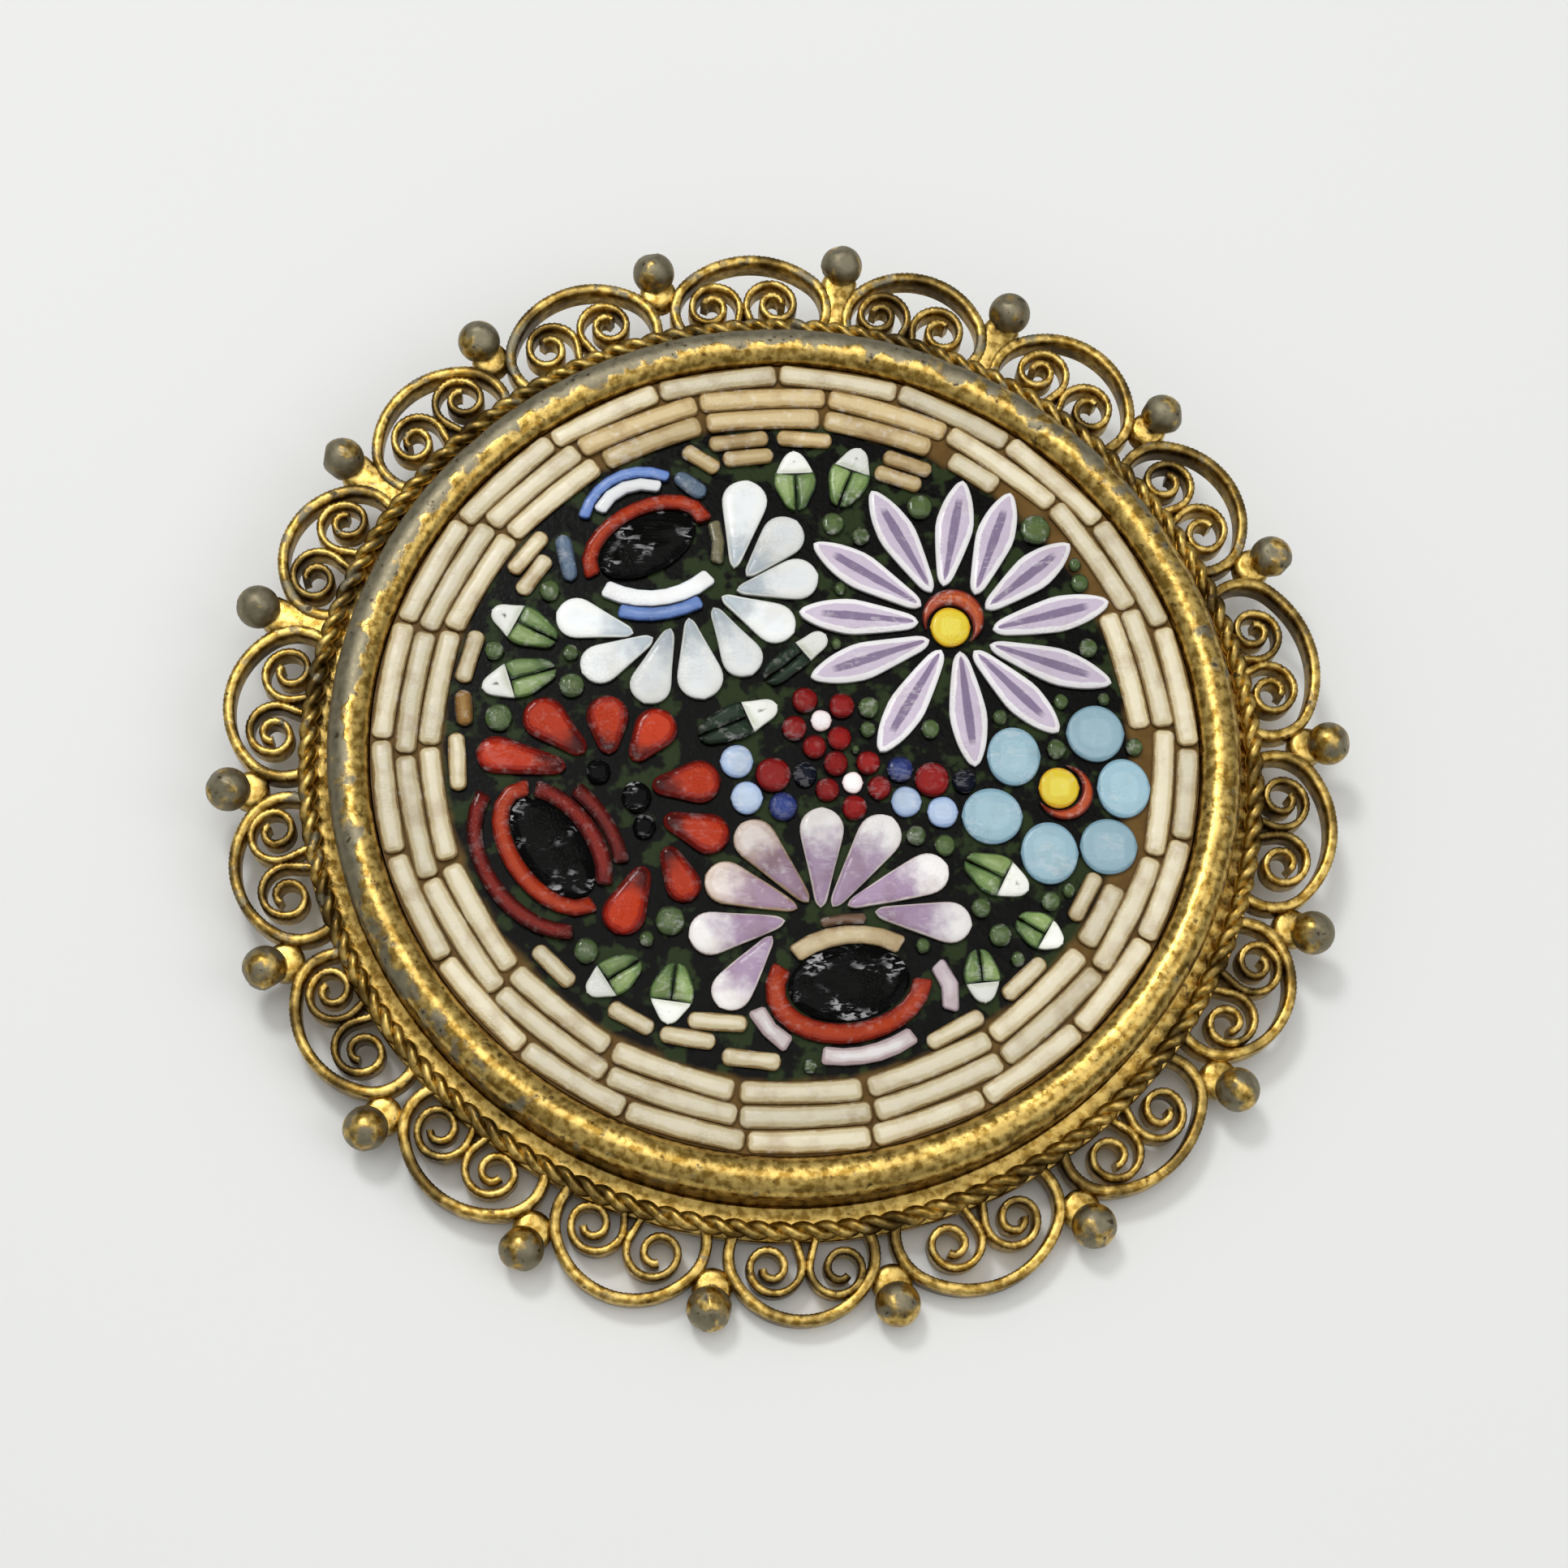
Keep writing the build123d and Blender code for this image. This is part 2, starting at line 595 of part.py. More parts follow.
def daisy_petal(tip, base):
    """Make a plump petal, widest past its middle."""
    length = hypot(tip[0] - base[0], tip[1] - base[1]) * square
    turn = degrees(atan2(tip[1] - base[1], tip[0] - base[0]))
    with BuildPart() as petal:
        with BuildSketch(picture_plane(base, turn)):
            for x, radius in (
                (0, daisy_base),
                (daisy_waist_share * length, daisy_waist),
                (daisy_belly_share * length, daisy_belly),
                (daisy_shoulder_share * length, daisy_shoulder),
                (length - daisy_tip, daisy_tip),
            ):
                with Locations((x, 0)):
                    Circle(radius)
            make_hull()
        extrude(amount=glass_height)
    return petal.part


def crescent_and_dot(outer_centre, outer_radius, dot_centre, dot_radius):
    """Make a round eye: a dot in a ring that is cut away around it."""
    with BuildPart() as eye:
        with BuildSketch(picture_plane(outer_centre)):
            Circle(outer_radius)
            offset_x = (dot_centre[0] - outer_centre[0]) * square
            offset_y = (dot_centre[1] - outer_centre[1]) * square
            with Locations((offset_x, offset_y)):
                Circle(dot_radius + eye_gap, mode=Mode.SUBTRACT)
        add(picture_oval(dot_centre, (dot_radius / square, dot_radius / square)))
        extrude(amount=glass_height)
    return eye.part


def stone(centre, halves, turn):
    """Make the oval stone of a bud."""
    with BuildPart() as oval:
        add(picture_oval(centre, halves, turn))
        extrude(amount=glass_height)
    return oval.part


def rim(bands, bars=()):
    """Make the bands and bars around a bud."""
    with BuildPart() as bent:
        for band in bands:
            add(picture_band(*band))
        for bar in bars:
            add(picture_bar(*bar))
        extrude(amount=glass_height)
    return bent.part


def dots(rows):
    """Make a field of round pieces from middles and radii."""
    with BuildPart() as field:
        for centre, radius in rows:
            add(picture_oval(centre, (radius, radius)))
        extrude(amount=glass_height)
    return field.part


def leaf_sketch(tip, base, half_width):
    """Sketch a leaf: a white tip and two halves, parted by the vein."""
    length = hypot(tip[0] - base[0], tip[1] - base[1]) * square
    turn = degrees(atan2(base[1] - tip[1], base[0] - tip[0]))
    with BuildSketch(picture_plane(tip, turn)) as leaf:
        for x, radius in (
            (leaf_tip, leaf_tip),
            (leaf_belly_share * length, half_width * square),
            (length - leaf_base, leaf_base),
        ):
            with Locations((x, 0)):
                Circle(radius)
        make_hull()
        with Locations((leaf_white_share * length, 0)):
            Rectangle(tessera_gap, 2 * length, mode=Mode.SUBTRACT)
            Rectangle(2 * length, leaf_vein, align=(Align.MIN, Align.CENTER), mode=Mode.SUBTRACT)
    return leaf.sketch


with BuildPart() as rods_short:
    for start_radius, start_angle, end_radius, end_angle in short_rods:
        start_turn, end_turn = radians(start_angle), radians(end_angle)
        start = (start_radius * cos(start_turn) * square, start_radius * sin(start_turn) * square)
        end = (end_radius * cos(end_turn) * square, end_radius * sin(end_turn) * square)
        add(bar_sketch(start, end))
    extrude(amount=glass_height)

with BuildPart() as turquoise:
    for centre, halves in turquoise_discs:
        add(picture_oval(centre, halves))
    extrude(amount=glass_height)

with BuildPart() as leaf_field:
    for leaf in leaves:
        add(leaf_sketch(*leaf))
    extrude(amount=glass_height)


# Nodes

outer_spans = list(zip(outer_joints, outer_joints[1:] + outer_joints[:1]))
middle_spans = list(zip(middle_joints, middle_joints[1:] + middle_joints[:1]))
nodes = {
    "setting": setting.part,
    "pin": pin.part,
    "bed": bed.part,
    "rods_outer": rod_ring(0, outer_spans),
    "rods_middle": rod_ring(1, middle_spans),
    "rods_inner": rod_ring(2, inner_rods),
    "rods_short": rods_short.part,
    "daisy_eye": crescent_and_dot(
        daisy_eye_centre, daisy_eye_radius, daisy_dot_centre, daisy_dot_radius
    ),
    "white_bud_stone": stone(*white_bud),
    "white_bud_rim": rim(white_bud_rim, white_bud_bars),
    "pink_bud_stone": stone(*pink_bud),
    "pink_bud_rim": rim(pink_bud_rim),
    "poppy_bud_stone": stone(*poppy_bud),
    "poppy_bud_rim": rim(poppy_bud_rim),
    "poppy_heart": dots(poppy_heart),
    "turquoise_discs": turquoise.part,
    "turquoise_eye": crescent_and_dot(
        turquoise_eye_centre, turquoise_eye_radius, turquoise_dot_centre, turquoise_dot_radius
    ),
    "red_blossoms": dots(red_blossoms),
    "blue_blossoms": dots(blue_blossoms),
    "leaves": leaf_field.part,
    "seeds": dots(seeds),
}
for number, (tip, base) in enumerate(daisy_petals, 1):
    nodes[f"daisy_petal_{number}"] = daisy_petal(tip, base)
for name, petals, foot in (
    ("white", white_petals, petal_point),
    ("pink", pink_petals, petal_point),
    ("poppy", poppy_petals, poppy_foot),
):
    for number, (end, radius, base) in enumerate(petals, 1):
        nodes[f"{name}_petal_{number}"] = drop_petal(end, radius, base, foot)

os.makedirs("parts", exist_ok=True)
for name, node in nodes.items():
    node.label = name
    export_step(node, f"parts/{name}.step")
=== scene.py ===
"""Looks of a round micromosaic brooch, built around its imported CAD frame.

All shapes are drawn in millimetres in the brooch's own level frame: z is out of the face, +y is the
top of the picture, and z = 0 is the top edge of the border's flat wires.
"""
import json
import logging
import math
from dataclasses import dataclass, field
from enum import Enum

import bpy
import numpy as np
from mathutils import Matrix, Vector


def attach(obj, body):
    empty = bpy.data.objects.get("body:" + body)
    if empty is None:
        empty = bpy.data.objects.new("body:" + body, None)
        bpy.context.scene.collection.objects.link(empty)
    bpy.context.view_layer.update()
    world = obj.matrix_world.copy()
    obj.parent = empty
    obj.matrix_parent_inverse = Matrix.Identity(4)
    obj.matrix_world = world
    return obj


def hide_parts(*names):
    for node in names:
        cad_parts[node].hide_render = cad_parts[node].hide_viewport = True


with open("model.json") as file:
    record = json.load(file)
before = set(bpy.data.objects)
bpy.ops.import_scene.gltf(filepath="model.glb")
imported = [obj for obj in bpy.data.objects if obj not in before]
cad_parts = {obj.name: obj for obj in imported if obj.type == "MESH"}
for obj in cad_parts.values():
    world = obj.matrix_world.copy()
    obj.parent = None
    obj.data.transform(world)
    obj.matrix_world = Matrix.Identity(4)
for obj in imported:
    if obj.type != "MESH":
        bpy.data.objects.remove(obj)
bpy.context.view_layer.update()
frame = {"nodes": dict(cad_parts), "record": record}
LOG = logging.getLogger("brooch")

# Places that several parts share, in millimetres
BACK_Z = -1.0
FINDINGS_Y = 5.5
PIN_Z = -2.3
CHART_SHIFT = np.array((0.2, -0.33))

# The chart of the picture: rows as in the CAD, in squares of one millimetre
SCALLOPS = (
    # ball's angle, arch's extra reach, horns' turn, (quarters, rise) low, (quarters, rise) high
    (2.1, 0.0, -0.5, (5.6, 0.0), (6.0, 0.0)), (23.8, 0.1, -0.1, (5.0, 0.0), (5.6, 0.0)),
    (43.7, 0.2, 0.1, (5.2, 0.0), (6.4, 0.2)), (64.0, 0.05, 0.6, (5.4, 0.0), (6.0, 0.0)),
    (83.3, 0.0, 0.9, (6.2, 0.0), (5.8, 0.0)), (104.1, 0.15, 0.3, (5.8, 0.2), (5.4, 0.2)),
    (124.9, 0.0, -0.5, (5.6, 0.25), (6.2, 0.2)), (144.9, 0.0, 0.4, (6.0, 0.25), (5.6, 0.25)),
    (163.8, 0.1, 0.0, (5.4, 0.0), (6.2, 0.25)), (184.0, 0.0, -0.8, (5.8, 0.25), (5.6, 0.25)),
    (203.4, -0.1, -0.7, (6.0, 0.0), (5.6, 0.2)), (222.9, -0.1, -0.6, (5.6, 0.0), (6.0, 0.0)),
    (242.6, 0.2, -0.4, (5.8, 0.0), (5.4, 0.25)), (262.0, 0.1, 0.4, (6.0, 0.2), (5.6, 0.3)),
    (280.6, 0.2, 0.2, (5.6, 0.25), (6.0, 0.25)), (301.9, -0.1, -0.5, (5.4, 0.2), (5.8, 0.2)),
    (322.5, 0.0, 0.1, (5.8, 0.25), (6.0, 0.25)), (341.2, 0.0, 0.1, (5.6, 0.2), (5.6, 0.0)),
)
FILLED_GAPS = (3, 4, 7, 8)
OUTER_JOINTS = (
    0, 18.7, 37, 55, 73, 91, 109, 126.5, 144.6, 162, 180,
    197, 213.7, 230.3, 246.7, 263.7, 281, 297.5, 314, 330.2, 346,
)
MIDDLE_JOINTS = (
    3, 23, 43.4, 63.7, 83.4, 103.7, 124, 142.6, 162.3,
    182.3, 202.1, 222, 242.1, 262.2, 281.9, 302.6, 322.6, 342.4,
)
INNER_RODS = (
    (3, 23.7), (52, 61.5), (64.8, 83.7), (84, 103.5), (104, 121.8), (122.7, 142),
    (142, 161), (161, 181), (181, 200.5), (201, 220.8), (221, 240.5), (241, 261.3),
    (261.7, 281.3), (281.7, 303), (303, 323.5), (324.5, 336),
)
SHORT_RODS = (
    (12.0, 63.2, 11.9, 72.0), (11.3, 63.6, 11.2, 72.6), (12.0, 81.8, 12.0, 91.4),
    (12.0, 93.1, 12.0, 103.6), (11.3, 92.4, 11.3, 101.8), (10.95, 103.2, 12.05, 108.2),
    (11.95, 138.0, 11.95, 147.2), (11.25, 141.0, 11.25, 149.8), (11.95, 159.8, 11.95, 169.3),
    (11.85, 170.9, 11.6, 177.2), (11.9, 178.8, 11.9, 189.0), (11.75, 220.5, 11.75, 229.5),
    (11.6, 237.0, 11.6, 245.4), (11.6, 246.9, 11.3, 256.4), (10.8, 250.6, 10.45, 261.5),
    (11.7, 258.2, 11.7, 268.1), (12.03, 293.5, 12.03, 304.0), (12.0, 309.0, 12.0, 318.3),
    (12.0, 327.2, 12.0, 336.4),
)
DAISY_PETALS = (
    ((3.0, 10.2), (5.0, 6.45)), ((6.4, 10.65), (5.62, 6.73)), ((8.17, 10.2), (6.8, 6.4)),
    ((10.3, 8.2), (7.3, 5.75)), ((11.64, 5.92), (7.6, 4.85)), ((11.6, 2.75), (7.46, 4.1)),
    ((9.6, 0.87), (6.8, 3.75)), ((6.54, -0.46), (6.13, 3.65)), ((3.12, 0.05), (5.3, 3.75)),
    ((0.67, 2.86), (4.75, 4.25)), ((0.27, 5.36), (4.35, 5.05)), ((0.83, 8.06), (4.5, 5.8)),
)
WHITE_PETALS = (
    ((-1.72, 9.75), 0.8, (-2.1, 7.25)), ((-0.3, 8.37), 0.76, (-1.55, 6.9)),
    ((0.2, 6.68), 0.76, (-1.85, 6.22)), ((-0.62, 4.92), 0.74, (-2.42, 5.85)),
    ((-1.83, 3.57), 0.72, (-2.8, 5.35)), ((-3.36, 2.78), 0.8, (-3.75, 4.9)),
    ((-5.16, 2.5), 0.72, (-4.5, 4.5)), ((-6.98, 3.27), 0.72, (-5.24, 4.22)),
    ((-7.85, 5.05), 0.74, (-5.97, 4.53)),
)
PINK_PETALS = (
    ((-1.42, -3.3), 0.76, (0.35, -5.45)), ((-2.45, -4.9), 0.76, (-0.1, -5.75)),
    ((-3.0, -6.75), 0.76, (-0.55, -6.3)), ((-2.28, -8.82), 0.7, (-0.95, -7.0)),
    ((0.97, -2.86), 0.76, (0.9, -5.6)), ((3.05, -3.1), 0.78, (1.42, -5.58)),
    ((4.75, -4.5), 0.74, (2.02, -5.64)), ((5.5, -6.3), 0.74, (3.0, -5.96)),
)
POPPY_PETALS = (
    ((-8.97, 1.2), 0.76, (-7.75, 0.12)), ((-6.7, 1.3), 0.74, (-6.65, 0.2)),
    ((-4.95, 0.85), 0.74, (-5.6, -0.1)), ((-10.7, -0.2), 0.66, (-8.5, -0.6)),
    ((-3.4, -1.15), 0.76, (-4.75, -1.3)), ((-3.05, -3.1), 0.72, (-4.35, -2.65)),
    ((-3.95, -5.0), 0.62, (-4.45, -3.9)), ((-6.05, -6.05), 0.76, (-5.45, -4.65)),
)
LEAVES = (
    ((-10.9, 5.3), (-8.6, 4.15), 0.72), ((-11.2, 2.3), (-8.6, 3.1), 0.72),
    ((0.1, 11.75), (0.2, 9.4), 0.74), ((2.6, 11.9), (1.75, 9.6), 0.74),
    ((1.2, 4.5), (-1.0, 2.72), 0.45), ((-0.6, 1.75), (-3.4, 0.55), 0.66),
    ((-7.3, -8.9), (-5.5, -7.75), 0.66), ((-4.5, -10.0), (-4.2, -7.85), 0.74),
    ((8.3, -5.1), (6.1, -4.0), 0.74), ((9.45, -7.05), (7.9, -6.15), 0.62),
    ((6.65, -9.2), (6.45, -7.3), 0.62),
)
DARK_LEAVES = (4, 5)
SEEDS = (
    ((1.54, 8.88), 0.4), ((2.55, 8.4), 0.32), ((4.76, 9.6), 0.45), ((9.05, 8.75), 0.54),
    ((10.47, 7.38), 0.22), ((10.62, 6.66), 0.32), ((10.83, 4.1), 0.33), ((1.75, 6.32), 0.21),
    ((1.6, 4.16), 0.18), ((2.72, 1.72), 0.36), ((2.68, 0.88), 0.27), ((2.23, 0.12), 0.14),
    ((4.95, 0.92), 0.32), ((7.5, 1.4), 0.26), ((9.75, 2.02), 0.26), ((11.32, 2.12), 0.21),
    ((9.52, 0.2), 0.34), ((12.35, 0.3), 0.3), ((-8.85, 6.1), 0.36), ((-10.8, 3.75), 0.33),
    ((-8.0, 2.45), 0.44), ((-10.6, 1.2), 0.48), ((-8.05, 3.7), 0.27), ((-7.35, -7.4), 0.42),
    ((-4.43, -6.3), 0.5), ((-5.25, -6.95), 0.25), ((4.35, -3.1), 0.34), ((5.37, -3.45), 0.36),
    ((9.75, -5.1), 0.22), ((9.1, -5.5), 0.33), ((6.6, -5.75), 0.34), ((7.25, -6.75), 0.38),
    ((4.5, -7.15), 0.24), ((7.85, -7.62), 0.24), ((0.45, -11.5), 0.22),
)


def linear(code: str) -> tuple[float, float, float, float]:
    """Turn six hex digits, a colour as on a screen, into the linear one that shaders take."""
    shares = [int(code[i:i + 2], 16) / 255 for i in (0, 2, 4)]
    return (*[v / 12.92 if v <= 0.04045 else ((v + 0.055) / 1.055) ** 2.4 for v in shares], 1.0)


@dataclass(frozen=True)
class GlassFinish:
    """Colours of one kind of drawn glass, from its outline inwards.

    Attributes:
        rim: Colour along the outline.
        body: Colour inside the rim.
        core: Colour of the middle.
        rim_width: Width of the rim in millimetres.
        core_depth: How far the core starts from the outline, in millimetres.
        mottling: Strength of the stains and uneven melt.
        base: Colour at the end where a petal starts, or nothing for the body's.
        base_share: Share of the length that has the base's colour.
        gloss: Roughness of the ground face.
        speckle: Strength of the pale spots in chipped patches, partly real scratches and partly painted
            glints of reflected light.
        stripe: Share of the width that a stripe of the core's colour takes.
        shine: How much the face mirrors.
    """

    rim: str
    body: str
    core: str
    rim_width: float
    core_depth: float
    mottling: float
    base: str = ""
    base_share: float = -0.5
    gloss: float = 0.22
    speckle: float = 0.2
    stripe: float = -0.5
    shine: float = 0.3


class Glass(Enum):
    """The kinds of glass in the picture."""

    CREAM = GlassFinish("93784a", "d0c29c", "e2d8bd", 0.07, 0.22, 0.7, gloss=0.3, speckle=0.1)
    CREAM_BROWN = GlassFinish("846838", "bda473", "d0bb8e", 0.07, 0.22, 0.9, gloss=0.3)
    AMBER = GlassFinish("5e4420", "866028", "967234", 0.07, 0.2, 0.7, gloss=0.3)
    LAVENDER = GlassFinish(
        "f0edef", "cbbdd0", "82708f", 0.2, 9.0, 0.2,
        base="a896b2", base_share=0.0, speckle=0.35, stripe=0.2,
    )
    WHITE = GlassFinish(
        "dfe2dc", "eef0ee", "eaeeef", 0.07, 0.4, 0.25,
        base="b4bfc6", base_share=0.36, speckle=0.04,
    )
    PINK = GlassFinish("d8cbc6", "f0ecea", "f2efee", 0.05, 0.3, 0.5, base="a58ca8", base_share=0.68)
    PINK_STAINED = GlassFinish("a88e74", "d6c4b8", "e2d6d0", 0.07, 0.3, 0.9, base="9c8196", base_share=0.66)
    RED = GlassFinish(
        "5c0a02", "941c03", "b83206", 0.14, 0.3, 0.25,
        base="420502", base_share=0.3, gloss=0.06, speckle=0.05, shine=0.13,
    )
    RED_DARK = GlassFinish("3a0502", "5c0a02", "761403", 0.1, 0.2, 0.2, gloss=0.06, speckle=0.06, shine=0.13)
    RED_BAND = GlassFinish("641202", "942604", "ac380a", 0.08, 0.2, 0.3, gloss=0.12, speckle=0.08, shine=0.13)
    YELLOW = GlassFinish("d8a61a", "dfc62e", "e6d54a", 0.1, 0.4, 0.3)
    RUSSET = GlassFinish("6a1a06", "a8400e", "c85c14", 0.08, 0.25, 0.6)
    BLACK = GlassFinish("040403", "030303", "030302", 0.05, 0.3, 0.0, gloss=0.1, speckle=0.5, shine=0.05)
    PURE_WHITE = GlassFinish("dfe3ea", "eff1f2", "f2f3f3", 0.05, 0.2, 0.2, speckle=0.0)
    BLUSH = GlassFinish("b8a2a4", "dccfd0", "efebeb", 0.12, 0.22, 0.3)
    LILAC = GlassFinish("9a8890", "c2b2b8", "cfc2c6", 0.06, 0.2, 0.4)
    CORNFLOWER = GlassFinish("4a68a8", "6b8bcb", "86a2da", 0.06, 0.2, 0.4, speckle=0.1)
    STEEL = GlassFinish("3c4c60", "5d7086", "6c8096", 0.08, 0.3, 0.5)
    OLIVE_BAND = GlassFinish("4c4a36", "76704f", "8a8462", 0.06, 0.2, 0.5)
    BEIGE = GlassFinish("8c7654", "b5a079", "c6b48e", 0.05, 0.15, 0.6)
    BROWN = GlassFinish("503824", "715440", "80634c", 0.05, 0.15, 0.6)
    TURQUOISE = GlassFinish("7fa3b4", "97b8c6", "a0c0cc", 0.12, 0.5, 0.3)
    CRIMSON = GlassFinish("4a0304", "7c0808", "8e0e0a", 0.08, 0.25, 0.2, speckle=0.1, shine=0.13)
    NIGHT = GlassFinish("06080f", "0a0d1a", "0c1020", 0.06, 0.25, 0.1, speckle=0.1, shine=0.06)
    NAVY = GlassFinish("0e1744", "16296a", "1f3880", 0.08, 0.25, 0.3, speckle=0.1)
    PALE_BLUE = GlassFinish("8ca4cc", "aec3e2", "bccfe8", 0.08, 0.25, 0.4, speckle=0.4)
    WHITE_DOT = GlassFinish("e0c4c4", "f3e9e8", "f5f0f0", 0.05, 0.15, 0.1, speckle=0.0)
    LEAF_LIGHT = GlassFinish("4c6430", "849c5c", "97ac70", 0.07, 0.25, 0.7, base="5c7840", base_share=0.3)
    LEAF_DARK = GlassFinish("344c26", "6a8448", "7c9658", 0.07, 0.25, 0.7, base="48642f", base_share=0.3)
    LEAF_DEEP = GlassFinish(
        "101c12", "1a2c1c", "223824", 0.07, 0.3, 0.4,
        base="142014", base_share=0.2, speckle=0.3, shine=0.15,
    )
    LEAF_TIP = GlassFinish("e6e8de", "eff1ea", "3a4a30", 0.05, 0.42, 0.2, base="c6ccb4", base_share=0.1)
    OLIVE = GlassFinish("2c3a1c", "465a2e", "56693a", 0.08, 0.3, 0.6, gloss=0.1)


@dataclass(frozen=True)
class MetalFinish:
    """Looks of one kind of worn gilt brass.

    Attributes:
        name: The material's name.
        grain: Height of its grain, in millimetres.
        tarnish: How brown it is, from 0 to 1.
        rough: Its least roughness.
    """

    name: str
    grain: float
    tarnish: float
    rough: float


class Metal(Enum):
    """The kinds of metal in the brooch."""

    BEZEL = MetalFinish("gilt_bezel", 0.011, 0.24, 0.2)
    WIRE = MetalFinish("gilt_wire", 0.012, 0.9, 0.28)
    BEAD = MetalFinish("worn_bead", 0.010, 0.4, 0.24)
    PIN = MetalFinish("drawn_wire", 0.006, 0.5, 0.25)


# More of the chart: centre, half lengths and turn of the buds, and bands as Mosaic.band takes them
BUDS = {
    "white": ((-5.3, 7.95), (1.95, 1.05), 31),
    "pink": ((1.85, -8.5), (2.15, 1.3), 9),
    "poppy": ((-8.6, -3.65), (2.1, 1.05), -55),
}
RIMS = {
    "white": (
        ((-5.3, 7.95), (2.07, 1.17), 0.5, 31, 25, 212, Glass.RED_BAND),
        ((-5.45, 8.6), (1.55, 1.55), 0.38, 0, 70, 158, Glass.PURE_WHITE),
        ((-5.45, 8.6), (2.05, 2.05), 0.34, 0, 66, 170, Glass.CORNFLOWER),
        ((-5.3, 9.1), (3.0, 3.0), 0.55, 0, 242, 314, Glass.PURE_WHITE),
        ((-5.3, 9.1), (3.67, 3.67), 0.42, 0, 255, 300, Glass.CORNFLOWER),
        ((-5.3, 7.9), (2.4, 2.4), 0.4, 0, -14, 22, Glass.OLIVE_BAND),
    ),
    "pink": (
        ((1.85, -8.56), (2.3, 1.44), 0.64, 9, 166, 364, Glass.RED_BAND),
        ((1.85, -8.5), (2.27, 1.42), 0.6, 9, 36, 152, Glass.BEIGE),
        ((1.85, -8.5), (3.0, 2.15), 0.3, 9, 75, 114, Glass.BROWN),
        ((1.85, -8.5), (3.1, 2.36), 0.56, 9, 250, 320, Glass.BLUSH),
        ((1.85, -8.5), (3.15, 2.41), 0.54, 9, 197, 226, Glass.BLUSH),
        ((3.83, -9.0), (1.36, 1.36), 0.54, 0, -16, 46, Glass.LILAC),
    ),
    "poppy": (
        ((-8.6, -3.65), (2.22, 1.17), 0.55, -55, 112, 306, Glass.RED_BAND),
        ((-8.6, -3.65), (2.22, 1.17), 0.55, -55, -36, 106, Glass.RED_DARK),
        ((-8.8, -3.85), (2.92, 1.96), 0.5, -55, 136, 288, Glass.RED_DARK),
        ((-8.6, -3.65), (2.9, 1.85), 0.5, -55, -12, 70, Glass.RED_DARK),
    ),
}
STEEL_BARS = (((-4.05, 10.58), (-3.42, 10.1), 0.56), ((-8.38, 8.0), (-8.12, 6.75), 0.52))
DISCS = (
    ((10.95, 0.8), (1.04, 1.02)), ((7.95, -0.1), (0.95, 1.08)), ((7.1, -2.36), (1.08, 1.0)),
    ((9.12, -3.72), (1.02, 1.12)), ((11.26, -3.46), (1.02, 1.0)), ((11.9, -1.27), (0.95, 1.08)),
)
POPPY_HEART = (((-7.0, -0.8), 0.42), ((-5.63, -1.75), 0.52), ((-5.35, -2.85), 0.4))
RED_BLOSSOMS = (
    ((1.0, 1.2), 0.36, Glass.WHITE_DOT), ((0.42, 1.97), 0.46), ((1.75, 1.77), 0.45),
    ((0.02, 0.9), 0.44), ((0.74, 0.2), 0.42), ((1.65, 0.54), 0.42),
    ((2.1, -1.14), 0.36, Glass.WHITE_DOT), ((1.5, -0.42), 0.43), ((2.68, -0.38), 0.42),
    ((1.19, -1.42), 0.42), ((3.06, -1.32), 0.42), ((2.15, -2.08), 0.44),
)
BLUE_BLOSSOMS = (
    ((-0.75, -0.87), 0.62), ((0.4, -0.85), 0.42, Glass.NIGHT), ((-0.4, -2.06), 0.5, Glass.NAVY),
    ((-2.06, -0.38), 0.58, Glass.PALE_BLUE), ((-1.7, -1.75), 0.56, Glass.PALE_BLUE),
    ((4.96, -1.0), 0.62), ((3.82, -0.62), 0.46, Glass.NAVY), ((4.02, -1.84), 0.53, Glass.PALE_BLUE),
    ((5.32, -2.22), 0.54, Glass.PALE_BLUE), ((6.12, -1.05), 0.42, Glass.NIGHT),
)


@dataclass
class Shape:
    """Gathers the points, faces, material numbers and named values of one mesh."""

    points: list = field(default_factory=list)
    faces: list = field(default_factory=list)
    paint: list = field(default_factory=list)
    values: dict = field(default_factory=lambda: {k: [] for k in ("edge", "along", "across", "tone", "worn")})
    size: int = 0

    def add(
        self, points: np.ndarray, faces: list, paint: int = 0, flip: bool = False, **values: object,
    ) -> None:
        """Add a patch.

        Args:
            points: Its corners.
            faces: Its faces, by point numbers.
            paint: Number of its material.
            flip: Whether the faces look the other way.
            **values: Named values, one for all points or one for each.
        """
        points = np.asarray(points, float).reshape(-1, 3)
        self.points.append(points)
        self.faces += [tuple(self.size + int(i) for i in face)[::-1 if flip else 1] for face in faces]
        self.paint += [paint] * len(faces)
        for name, store in self.values.items():
            value = np.asarray(values.get(name, 0.0), float).ravel()
            store.append(np.broadcast_to(value, (len(points),)) if value.size == 1 else value)
        self.size += len(points)


def grid_faces(rows: int, columns: int, ring: bool = False, tube: bool = False, capped: bool = False) -> list:
    """List the faces of a grid of points.

    Args:
        rows: Number of rows.
        columns: Points in a row.
        ring: Whether the last row joins the first.
        tube: Whether each row closes on itself.
        capped: Whether the first and the last row are faces too.

    Returns:
        Faces as tuples of point numbers.
    """
    faces = []
    for row in range(rows if ring else rows - 1):
        for column in range(columns if tube else columns - 1):
            here, there, beside = row * columns, (row + 1) % rows * columns, (column + 1) % columns
            faces.append((here + column, here + beside, there + beside, there + column))
    if capped:
        last = (rows - 1) * columns
        faces += [tuple(range(columns))[::-1], tuple(range(last, last + columns))]
    return faces


def polar(reach: object, angle: object) -> np.ndarray:
    """Give the points at distances and angles, in radians, around the middle."""
    return np.stack((reach * np.cos(angle), reach * np.sin(angle)), axis=-1)


